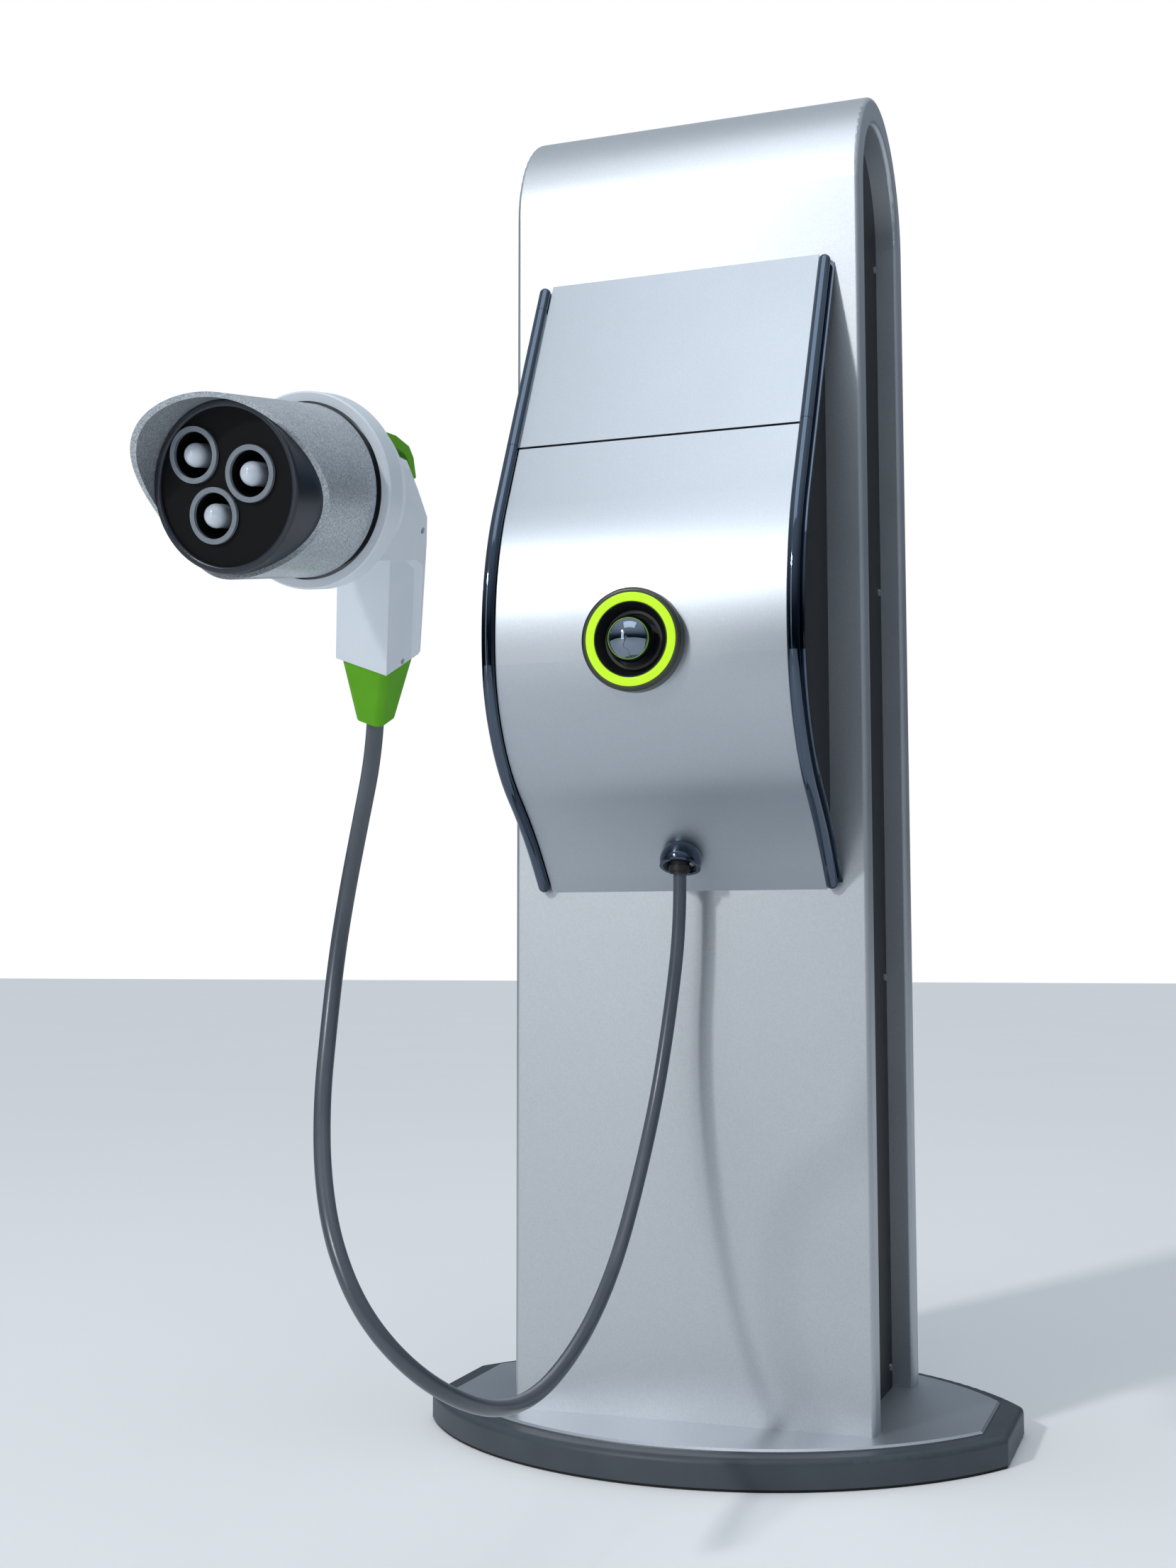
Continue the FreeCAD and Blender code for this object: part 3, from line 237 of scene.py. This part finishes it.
colour = add_node(tree, "ShaderNodeValToRGB", {"Fac": grain.outputs["Fac"]})
colour.color_ramp.elements[0].position = 0.25
colour.color_ramp.elements[1].position = 0.75
colour.color_ramp.elements[0].color = linear("#abb2b9")
colour.color_ramp.elements[1].color = linear("#b8bec5")
relief = add_node(tree, "ShaderNodeBump", {
    "Height": scratches.outputs["Fac"], "Strength": 0.05, "Distance": 0.0002})
tree.links.new(rough.outputs["Value"], shader.inputs["Roughness"])
tree.links.new(colour.outputs["Color"], shader.inputs["Base Color"])
tree.links.new(relief.outputs["Normal"], shader.inputs["Normal"])
dress(console_aluminium, "front_panel", "flap_panel")

# %% [markdown]
# ## Chrome
# The side rails, their lips and the outlet hood are steel plated with bright
# chrome. Plating copies whatever is around it, dark walls included, so it
# looks darker than the sheets beside it. This small studio has few dark walls,
# so the metal's own colour is set darker than real chrome to stand in for
# them. Polishing leaves a faint haze, drawn as a small change in roughness.

# %% Bright chrome
bright_chrome, tree, shader = new_finish("chrome_plated_steel", Metallic=1.0, Roughness=0.07)
shader.inputs["Base Color"].default_value = linear("#525d6b")
place = add_node(tree, "ShaderNodeTexCoord").outputs["Object"]
haze = add_node(tree, "ShaderNodeTexNoise", {"Vector": place, "Scale": per_mm(35), "Detail": 4.0})
rough = add_node(tree, "ShaderNodeMapRange", {
    "Value": haze.outputs["Fac"], "From Min": 0.3, "From Max": 0.7, "To Min": 0.05,
    "To Max": 0.11})
tree.links.new(rough.outputs["Result"], shader.inputs["Roughness"])
dress(
    bright_chrome, "rail_left_lower", "rail_left_upper", "rail_left_stub", "rail_right_lower",
    "rail_right_upper", "side_trims", "gland_hood",
)

# %% [markdown]
# ## Powder coat
# The core, its covers and the console's housing are steel sheet under baked
# powder. Powder flows out into a soft orange peel about 1.5 mm across, with
# finer grit on top, and it is nearly matte.

# %% Graphite powder coat
powder_coat, tree, shader = new_finish(
    "powder_coat_graphite", Roughness=0.5, IOR=1.5, Specular_IOR_Level=0.3)
place = add_node(tree, "ShaderNodeTexCoord").outputs["Object"]
peel = add_node(tree, "ShaderNodeTexNoise", {"Vector": place, "Scale": per_mm(1.5), "Detail": 3.0})
drift = add_node(tree, "ShaderNodeTexNoise", {"Vector": place, "Scale": per_mm(90), "Detail": 3.0})
colour = add_node(tree, "ShaderNodeValToRGB", {"Fac": drift.outputs["Fac"]})
colour.color_ramp.elements[0].color = linear("#090c11")
colour.color_ramp.elements[1].color = linear("#10151c")
rough = add_node(tree, "ShaderNodeMapRange", {
    "Value": peel.outputs["Fac"], "To Min": 0.42, "To Max": 0.6})
relief = add_node(tree, "ShaderNodeBump", {
    "Height": peel.outputs["Fac"], "Strength": 0.25, "Distance": 0.0002})
tree.links.new(colour.outputs["Color"], shader.inputs["Base Color"])
tree.links.new(rough.outputs["Result"], shader.inputs["Roughness"])
tree.links.new(relief.outputs["Normal"], shader.inputs["Normal"])
dress(powder_coat, "core_liner", "core_cover_left", "core_cover_right", "console_housing")

# %% [markdown]
# ## Cast plinth
# The plinth is a heavy moulding in charcoal polymer concrete. Its skin has a
# grit of about half a millimetre, drawn at 0.8 mm so that it shows.

# %% Charcoal plinth
plinth_finish, tree, shader = new_finish("moulded_charcoal_plinth", Roughness=0.5, IOR=1.5)
place = add_node(tree, "ShaderNodeTexCoord").outputs["Object"]
grit = add_node(tree, "ShaderNodeTexNoise", {"Vector": place, "Scale": per_mm(0.8), "Detail": 4.0})
drift = add_node(tree, "ShaderNodeTexNoise", {"Vector": place, "Scale": per_mm(60), "Detail": 3.0})
colour = add_node(tree, "ShaderNodeValToRGB", {"Fac": drift.outputs["Fac"]})
colour.color_ramp.elements[0].color = linear("#343b42")
colour.color_ramp.elements[1].color = linear("#434c54")
rough = add_node(tree, "ShaderNodeMapRange", {
    "Value": grit.outputs["Fac"], "To Min": 0.4, "To Max": 0.6})
relief = add_node(tree, "ShaderNodeBump", {
    "Height": grit.outputs["Fac"], "Strength": 0.3, "Distance": 0.0002})
tree.links.new(colour.outputs["Color"], shader.inputs["Base Color"])
tree.links.new(rough.outputs["Result"], shader.inputs["Roughness"])
tree.links.new(relief.outputs["Normal"], shader.inputs["Normal"])
dress(plinth_finish, "base_plinth")

# %% [markdown]
# ## Black rubber and black mouldings
# Rubber is matte and slightly dusty; a moulded plastic part comes out of a
# spark-eroded tool with a fine even grain. Both are nearly black, so the
# difference is all in their roughness.

# %% Gasket rubber
gasket_rubber, tree, shader = new_finish("moulded_rubber_black", Roughness=0.8, IOR=1.52)
place = add_node(tree, "ShaderNodeTexCoord").outputs["Object"]
dust = add_node(tree, "ShaderNodeTexNoise", {"Vector": place, "Scale": per_mm(8), "Detail": 4.0})
colour = add_node(tree, "ShaderNodeValToRGB", {"Fac": dust.outputs["Fac"]})
colour.color_ramp.elements[0].color = linear("#0c0d0e")
colour.color_ramp.elements[1].color = linear("#191a1c")
tree.links.new(colour.outputs["Color"], shader.inputs["Base Color"])
dress(gasket_rubber, "base_gasket", "conduit_grommet")

# %% Black mouldings
black_moulding, tree, shader = new_finish("moulded_nylon_black", Roughness=0.45, IOR=1.53)
place = add_node(tree, "ShaderNodeTexCoord").outputs["Object"]
spark = add_node(tree, "ShaderNodeTexNoise", {"Vector": place, "Scale": per_mm(0.5), "Detail": 2.0})
colour = add_node(tree, "ShaderNodeValToRGB", {"Fac": spark.outputs["Fac"]})
colour.color_ramp.elements[0].color = linear("#0b0c0d")
colour.color_ramp.elements[1].color = linear("#15171a")
relief = add_node(tree, "ShaderNodeBump", {
    "Height": spark.outputs["Fac"], "Strength": 0.15, "Distance": 0.0001})
tree.links.new(colour.outputs["Color"], shader.inputs["Base Color"])
tree.links.new(relief.outputs["Normal"], shader.inputs["Normal"])
dress(
    black_moulding, "ring_cup", "gland_body", "flap_catches", "switch_block", "ring_locknut",
    "breaker_toggle",
)

# %% [markdown]
# ## The lit ring
# A lime acrylic diffuser sits over a ring of lamps. It spreads their light so
# well that the glow is nearly even, so it is drawn as two limes close together
# with a slow mottle 14 mm across. Its housing is dark and semi-gloss, and the
# touch of green in its colour is painted lime light from the ring on its sides.
# The knob in the middle is turned, polished and plated black chrome, and wiping
# it leaves a faint unevenness about 9 mm across.

# %% Lime diffuser
lime_glow, tree, shader = new_finish("acrylic_diffuser_lime", Roughness=0.3, IOR=1.49)
shader.inputs["Base Color"].default_value = linear("#4f7a00")
shader.inputs["Emission Strength"].default_value = 1.0
place = add_node(tree, "ShaderNodeTexCoord").outputs["Object"]
mottle = add_node(tree, "ShaderNodeTexNoise", {"Vector": place, "Scale": per_mm(14), "Detail": 2.0})
glow = add_node(tree, "ShaderNodeValToRGB", {"Fac": mottle.outputs["Fac"]})
glow.color_ramp.elements[0].color = linear("#b2f000")
glow.color_ramp.elements[1].color = linear("#c0fb00")
tree.links.new(glow.outputs["Color"], shader.inputs["Emission Color"])
dress(lime_glow, "ring_light")

# %% Ring housing with painted lime glow
dark_housing_painted_glow, tree, shader = new_finish("moulded_abs_dark_painted_lime_glow", Roughness=0.32, IOR=1.54)
place = add_node(tree, "ShaderNodeTexCoord").outputs["Object"]
drift = add_node(tree, "ShaderNodeTexNoise", {"Vector": place, "Scale": per_mm(20), "Detail": 3.0})
colour = add_node(tree, "ShaderNodeValToRGB", {"Fac": drift.outputs["Fac"]})
# The two dark olive stops are the housing's own dark with painted lime light from the ring mixed in.
colour.color_ramp.elements[0].color = linear("#24281c")
colour.color_ramp.elements[1].color = linear("#30352a")
tree.links.new(colour.outputs["Color"], shader.inputs["Base Color"])
dress(dark_housing_painted_glow, "ring_housing")

# %% Push knob
black_chrome, tree, shader = new_finish("polished_black_chrome", Metallic=1.0, Roughness=0.06)
place = add_node(tree, "ShaderNodeTexCoord").outputs["Object"]
wipe = add_node(tree, "ShaderNodeTexNoise", {"Vector": place, "Scale": per_mm(9), "Detail": 3.0})
colour = add_node(tree, "ShaderNodeValToRGB", {"Fac": wipe.outputs["Fac"]})
colour.color_ramp.elements[0].color = linear("#76828f")
colour.color_ramp.elements[1].color = linear("#84909d")
rough = add_node(tree, "ShaderNodeMapRange", {
    "Value": wipe.outputs["Fac"], "To Min": 0.04, "To Max": 0.1})
tree.links.new(colour.outputs["Color"], shader.inputs["Base Color"])
tree.links.new(rough.outputs["Result"], shader.inputs["Roughness"])
dress(black_chrome, "push_knob")

# %% [markdown]
# ## The connector's mouldings
# The handle and collar are white plastic with a fine eroded grain. The shroud
# carries a silver coat with flakes in it: real flakes are about a twentieth of
# a millimetre, and they are drawn at 0.7 mm so that they show. The sleeve is
# dark blue-grey, the face plate black, and the contacts have pale grey rings
# and glazed tips. The trigger and strain relief are soft green rubber, and the
# cord's jacket is extruded rubber with a faint skin.

# %% White handle plastic
white_plastic, tree, shader = new_finish("moulded_pc_abs_white", Roughness=0.38, IOR=1.57)
shader.inputs["Subsurface Weight"].default_value = 0.04
shader.inputs["Subsurface Radius"].default_value = (0.004, 0.004, 0.004)
place = add_node(tree, "ShaderNodeTexCoord").outputs["Object"]
spark = add_node(tree, "ShaderNodeTexNoise", {"Vector": place, "Scale": per_mm(0.6), "Detail": 2.0})
drift = add_node(tree, "ShaderNodeTexNoise", {"Vector": place, "Scale": per_mm(45), "Detail": 3.0})
colour = add_node(tree, "ShaderNodeValToRGB", {"Fac": drift.outputs["Fac"]})
colour.color_ramp.elements[0].color = linear("#cfd7de")
colour.color_ramp.elements[1].color = linear("#dce3e9")
relief = add_node(tree, "ShaderNodeBump", {
    "Height": spark.outputs["Fac"], "Strength": 0.1, "Distance": 0.0001})
tree.links.new(colour.outputs["Color"], shader.inputs["Base Color"])
tree.links.new(relief.outputs["Normal"], shader.inputs["Normal"])
dress(white_plastic, "plug_collar", "handle_left", "handle_right")

# %% Silver flake coat
silver_flake, tree, shader = new_finish("flake_paint_silver", Metallic=0.4, Roughness=0.4)
shader.inputs["Coat Weight"].default_value = 0.2
place = add_node(tree, "ShaderNodeTexCoord").outputs["Object"]
flakes = add_node(tree, "ShaderNodeTexVoronoi", {"Vector": place, "Scale": per_mm(0.7)})
flake_tone = add_node(tree, "ShaderNodeSeparateColor", {"Color": flakes.outputs["Color"]})
colour = add_node(tree, "ShaderNodeValToRGB", {"Fac": flake_tone.outputs["Red"]})
colour.color_ramp.elements[0].color = linear("#8f969c")
colour.color_ramp.elements[1].color = linear("#c9cfd4")
rough = add_node(tree, "ShaderNodeMapRange", {
    "Value": flake_tone.outputs["Green"], "To Min": 0.3, "To Max": 0.46})
relief = add_node(tree, "ShaderNodeBump", {
    "Height": flake_tone.outputs["Blue"], "Strength": 0.15, "Distance": 0.0001})
tree.links.new(colour.outputs["Color"], shader.inputs["Base Color"])
tree.links.new(rough.outputs["Result"], shader.inputs["Roughness"])
tree.links.new(relief.outputs["Normal"], shader.inputs["Normal"])
dress(silver_flake, "plug_shroud")

# %% Dark sleeve
navy_sleeve, tree, shader = new_finish("moulded_nylon_navy", Roughness=0.3, IOR=1.53)
place = add_node(tree, "ShaderNodeTexCoord").outputs["Object"]
drift = add_node(tree, "ShaderNodeTexNoise", {"Vector": place, "Scale": per_mm(25), "Detail": 3.0})
colour = add_node(tree, "ShaderNodeValToRGB", {"Fac": drift.outputs["Fac"]})
colour.color_ramp.elements[0].color = linear("#171c25")
colour.color_ramp.elements[1].color = linear("#222936")
tree.links.new(colour.outputs["Color"], shader.inputs["Base Color"])
dress(navy_sleeve, "plug_sleeve")

# %% Black face plate
face_black, tree, shader = new_finish(
    "moulded_insulator_black", Roughness=0.6, IOR=1.55, Specular_IOR_Level=0.12)
place = add_node(tree, "ShaderNodeTexCoord").outputs["Object"]
spark = add_node(tree, "ShaderNodeTexNoise", {"Vector": place, "Scale": per_mm(0.5), "Detail": 2.0})
colour = add_node(tree, "ShaderNodeValToRGB", {"Fac": spark.outputs["Fac"]})
colour.color_ramp.elements[0].color = linear("#070708")
colour.color_ramp.elements[1].color = linear("#101011")
relief = add_node(tree, "ShaderNodeBump", {
    "Height": spark.outputs["Fac"], "Strength": 0.12, "Distance": 0.0001})
tree.links.new(colour.outputs["Color"], shader.inputs["Base Color"])
tree.links.new(relief.outputs["Normal"], shader.inputs["Normal"])
dress(face_black, "plug_face")

# %% Contact rings and tips
ring_grey, tree, shader = new_finish("moulded_pbt_pale_grey", Roughness=0.3, IOR=1.55)
place = add_node(tree, "ShaderNodeTexCoord").outputs["Object"]
drift = add_node(tree, "ShaderNodeTexNoise", {"Vector": place, "Scale": per_mm(6), "Detail": 3.0})
colour = add_node(tree, "ShaderNodeValToRGB", {"Fac": drift.outputs["Fac"]})
colour.color_ramp.elements[0].color = linear("#717982")
colour.color_ramp.elements[1].color = linear("#848c95")
tree.links.new(colour.outputs["Color"], shader.inputs["Base Color"])
dress(ring_grey, "plug_pin_rings")

contact_tip, tree, shader = new_finish("glazed_ceramic_tip", Roughness=0.08, IOR=1.6)
shader.inputs["Coat Weight"].default_value = 0.5
place = add_node(tree, "ShaderNodeTexCoord").outputs["Object"]
drift = add_node(tree, "ShaderNodeTexNoise", {"Vector": place, "Scale": per_mm(5), "Detail": 2.0})
colour = add_node(tree, "ShaderNodeValToRGB", {"Fac": drift.outputs["Fac"]})
colour.color_ramp.elements[0].color = linear("#c3ccd8")
colour.color_ramp.elements[1].color = linear("#d5dce6")
tree.links.new(colour.outputs["Color"], shader.inputs["Base Color"])
dress(contact_tip, "plug_contacts")

# %% Green soft rubber
green_rubber, tree, shader = new_finish(
    "overmoulded_tpe_green", Roughness=0.5, IOR=1.5, Specular_IOR_Level=0.25)
place = add_node(tree, "ShaderNodeTexCoord").outputs["Object"]
spark = add_node(tree, "ShaderNodeTexNoise", {"Vector": place, "Scale": per_mm(0.7), "Detail": 3.0})
drift = add_node(tree, "ShaderNodeTexNoise", {"Vector": place, "Scale": per_mm(30), "Detail": 3.0})
colour = add_node(tree, "ShaderNodeValToRGB", {"Fac": drift.outputs["Fac"]})
colour.color_ramp.elements[0].color = linear("#529c00")
colour.color_ramp.elements[1].color = linear("#60ad04")
relief = add_node(tree, "ShaderNodeBump", {
    "Height": spark.outputs["Fac"], "Strength": 0.2, "Distance": 0.0001})
tree.links.new(colour.outputs["Color"], shader.inputs["Base Color"])
tree.links.new(relief.outputs["Normal"], shader.inputs["Normal"])
dress(green_rubber, "plug_trigger", "strain_relief")

# %% Cord jacket
cord_jacket, tree, shader = new_finish("extruded_rubber_charcoal", Roughness=0.3, IOR=1.52)
place = add_node(tree, "ShaderNodeTexCoord").outputs["Object"]
skin = add_node(tree, "ShaderNodeTexNoise", {"Vector": place, "Scale": per_mm(1.0), "Detail": 3.0})
drift = add_node(tree, "ShaderNodeTexNoise", {"Vector": place, "Scale": per_mm(40), "Detail": 3.0})
colour = add_node(tree, "ShaderNodeValToRGB", {"Fac": drift.outputs["Fac"]})
colour.color_ramp.elements[0].color = linear("#40464e")
colour.color_ramp.elements[1].color = linear("#525962")
rough = add_node(tree, "ShaderNodeMapRange", {
    "Value": skin.outputs["Fac"], "To Min": 0.24, "To Max": 0.36})
relief = add_node(tree, "ShaderNodeBump", {
    "Height": skin.outputs["Fac"], "Strength": 0.12, "Distance": 0.0001})
tree.links.new(colour.outputs["Color"], shader.inputs["Base Color"])
tree.links.new(rough.outputs["Result"], shader.inputs["Roughness"])
tree.links.new(relief.outputs["Normal"], shader.inputs["Normal"])
charging_cord.data.materials.append(cord_jacket)
print("cord jacket ready")

# %% [markdown]
# ## Hidden hardware
# Screws, brackets and the DIN rail are zinc-plated steel, whose crystals show
# as a faint spangle about 6 mm across. The power supply's metal case shares it.
# The devices inside the console are light grey mouldings, the conduit a darker
# grey pipe, and the board a lacquered green with paler tracks.

# %% Zinc-plated steel
zinc_steel, tree, shader = new_finish("zinc_plated_steel", Metallic=1.0, Roughness=0.38)
place = add_node(tree, "ShaderNodeTexCoord").outputs["Object"]
spangle = add_node(tree, "ShaderNodeTexVoronoi", {"Vector": place, "Scale": per_mm(6)})
flake_tone = add_node(tree, "ShaderNodeSeparateColor", {"Color": spangle.outputs["Color"]})
colour = add_node(tree, "ShaderNodeValToRGB", {"Fac": flake_tone.outputs["Red"]})
colour.color_ramp.elements[0].color = linear("#a9adb0")
colour.color_ramp.elements[1].color = linear("#c3c7ca")
rough = add_node(tree, "ShaderNodeMapRange", {
    "Value": flake_tone.outputs["Green"], "To Min": 0.3, "To Max": 0.46})
tree.links.new(colour.outputs["Color"], shader.inputs["Base Color"])
tree.links.new(rough.outputs["Result"], shader.inputs["Roughness"])
dress(
    zinc_steel, "foot_plate", "leg_spigots", "leg_screws", "cover_screws", "conduit_clips",
    "console_screws", "hinge_pins", "knob_spring", "switch_carrier", "gland_locknut",
    "din_rail", "board_standoffs", "power_supply", "handle_screws", "trigger_pin", "trigger_spring",
)

# %% Device mouldings
device_grey, tree, shader = new_finish("moulded_polyamide_light_grey", Roughness=0.45, IOR=1.53)
place = add_node(tree, "ShaderNodeTexCoord").outputs["Object"]
spark = add_node(tree, "ShaderNodeTexNoise", {"Vector": place, "Scale": per_mm(0.6), "Detail": 2.0})
colour = add_node(tree, "ShaderNodeValToRGB", {"Fac": spark.outputs["Fac"]})
colour.color_ramp.elements[0].color = linear("#c9ccce")
colour.color_ramp.elements[1].color = linear("#d8dbdd")
relief = add_node(tree, "ShaderNodeBump", {
    "Height": spark.outputs["Fac"], "Strength": 0.1, "Distance": 0.0001})
tree.links.new(colour.outputs["Color"], shader.inputs["Base Color"])
tree.links.new(relief.outputs["Normal"], shader.inputs["Normal"])
dress(device_grey, "main_breaker", "residual_breaker", "energy_meter", "terminal_block")

# %% Conduit pipe
conduit_grey, tree, shader = new_finish("extruded_pvc_grey", Roughness=0.4, IOR=1.53)
place = add_node(tree, "ShaderNodeTexCoord").outputs["Object"]
drift = add_node(tree, "ShaderNodeTexNoise", {"Vector": place, "Scale": per_mm(30), "Detail": 3.0})
colour = add_node(tree, "ShaderNodeValToRGB", {"Fac": drift.outputs["Fac"]})
colour.color_ramp.elements[0].color = linear("#777b7e")
colour.color_ramp.elements[1].color = linear("#85898c")
tree.links.new(colour.outputs["Color"], shader.inputs["Base Color"])
dress(conduit_grey, "supply_conduit")

# %% Circuit board
board_green, tree, shader = new_finish("lacquered_glass_epoxy_green", Roughness=0.35, IOR=1.55)
place = add_node(tree, "ShaderNodeTexCoord").outputs["Object"]
tracks = add_node(tree, "ShaderNodeTexBrick", {
    "Vector": place, "Scale": per_mm(12), "Mortar Size": 0.03})
tracks.inputs["Color1"].default_value = linear("#0f5a33")
tracks.inputs["Color2"].default_value = linear("#12653b")
tracks.inputs["Mortar"].default_value = linear("#1f8a52")
tree.links.new(tracks.outputs["Color"], shader.inputs["Base Color"])
dress(board_green, "controller_board")

# %% [markdown]
# ## Springs that give
# Two small coil springs push the knob and the trigger back. The measured
# coils are stiff solids, so a pressed knob would pass through its spring. A
# copy of each coil, with a mesh of its own, stands in for it on the post, and
# the measured coil is hidden. The table lists how each would shorten with its
# joint, but the copies keep their full length.

# %% Copies of the springs
plug_yaw = math.radians(-6.19)
plug_pitch = math.radians(11.03)
plug_roll = math.radians(20.78)
plug_turn = (
    Matrix.Rotation(plug_yaw, 3, "Z")
    @ Matrix.Rotation(plug_pitch, 3, "X")
    @ Matrix.Rotation(plug_roll, 3, "Y")
)
spring_facts = (
    # measured part, joint, way to its resting end, half its length in metres, share kept
    ("knob_spring", "knob_push", Vector((0.0, 0.998719, 0.050593)), 0.0067, 0.74),
    ("trigger_spring", "latch_press", plug_turn @ Vector((0.0, 0.0, -1.0)), 0.0077, 0.85),
)
for node, joint, to_rest, half_length, keep in spring_facts:
    coil = bpy.data.objects.new(node + "_coil", parts[node].data.copy())
    bpy.context.scene.collection.objects.link(coil)
    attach(coil, "post")
    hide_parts(node)
    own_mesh(coil)
    print(coil.name, "keeps", keep, "of its length")

# %% [markdown]
# ## What the cord carries
# The cord is one length, from its outlet to the connector, with the measured
# pieces of the connector hanging on it.

# %% [markdown]
# ## Studio
# A pale floor and soft light, as for a catalogue. One low sun from the front
# left throws the cord's soft shadow across the post. A tall softbox beside it
# lights the sheets from the front, and a wide one overhead lights the tops and
# the rolled front. The room is darker at eye level than overhead, which gives
# the chrome something to show, and only the camera sees it white.

# %% Floor
floor_finish, tree, shader = new_finish("pale_studio_floor", Roughness=0.7)
place = add_node(tree, "ShaderNodeTexCoord").outputs["Object"]
drift = add_node(tree, "ShaderNodeTexNoise", {"Vector": place, "Scale": per_mm(800), "Detail": 2.0})
colour = add_node(tree, "ShaderNodeValToRGB", {"Fac": drift.outputs["Fac"]})
colour.color_ramp.elements[0].color = linear("#fbfbfb")
colour.color_ramp.elements[1].color = linear("#ffffff")
tree.links.new(colour.outputs["Color"], shader.inputs["Base Color"])
floor_mesh = bpy.data.meshes.new("studio_floor")
half_side = 30
floor_corners = [(x * half_side, y * half_side, 0) for x, y in ((-1, -1), (1, -1), (1, 1), (-1, 1))]
floor_mesh.from_pydata(floor_corners, [], [(0, 1, 2, 3)])
floor_mesh.materials.append(floor_finish)
studio_floor = bpy.data.objects.new("studio_floor", floor_mesh)
bpy.context.scene.collection.objects.link(studio_floor)
print(studio_floor.name, "reaches", half_side, "m each way")

# %% Lights
def add_light(name, kind, place, aim, power, **settings):
    data = bpy.data.lights.new(name, kind)
    data.energy = power
    for key, value in settings.items():
        setattr(data, key, value)
    lamp = bpy.data.objects.new(name, data)
    lamp.location = place
    lamp.rotation_euler = (Vector(aim) - Vector(place)).to_track_quat("-Z", "Y").to_euler()
    bpy.context.scene.collection.objects.link(lamp)
    return lamp


low_sun = add_light("low_sun", "SUN", (-1.85, -3.92, 3.2), (0, 0, 0.7), 1.05, angle=math.radians(4.0))
tall_softbox = add_light(
    "tall_softbox", "AREA", (-1.3, -3.8, 1.5), (0, 0, 0.75), 12.0,
    shape="RECTANGLE", size=0.8, size_y=2.4, color=(1.0, 0.99, 0.97))
ceiling_softbox = add_light(
    "ceiling_softbox", "AREA", (0.2, -1.3, 3.3), (0, -0.3, 0.6), 18.0,
    shape="RECTANGLE", size=2.2, size_y=1.8, color=(0.95, 0.98, 1.0))
print("lights", low_sun.name, tall_softbox.name, ceiling_softbox.name)

# %% Room
room = bpy.data.worlds.new("studio_room")
room.use_nodes = True
bpy.context.scene.world = room
tree = room.node_tree
way = add_node(tree, "ShaderNodeTexCoord").outputs["Generated"]
height = add_node(tree, "ShaderNodeSeparateXYZ", {"Vector": way}).outputs["Z"]
climb = add_node(tree, "ShaderNodeMapRange", {"Value": height, "From Min": -0.2, "From Max": 1.0})
shade = add_node(tree, "ShaderNodeValToRGB", {"Fac": climb.outputs["Result"]})
shade.color_ramp.elements[0].color = linear("#1a222d")
shade.color_ramp.elements[1].color = linear("#ccd3da")
for position, hex_colour in ((0.2, "#18202b"), (0.34, "#36414e"), (0.5, "#8d98a4"), (0.7, "#bcc6d0")):
    stop = shade.color_ramp.elements.new(position)
    stop.color = linear(hex_colour)
seen = add_node(tree, "ShaderNodeLightPath").outputs["Is Camera Ray"]
white = (1.0, 1.0, 1.0, 1.0)
wall = add_node(tree, "ShaderNodeMixRGB", {
    "Fac": seen, "Color1": shade.outputs["Color"], "Color2": white})
background = tree.nodes["Background"]
background.inputs["Strength"].default_value = 1.0
tree.links.new(wall.outputs["Color"], background.inputs["Color"])
bpy.context.scene.view_settings.view_transform = "Standard"
print(room.name, "has", len(shade.color_ramp.elements), "shades from eye level to overhead")
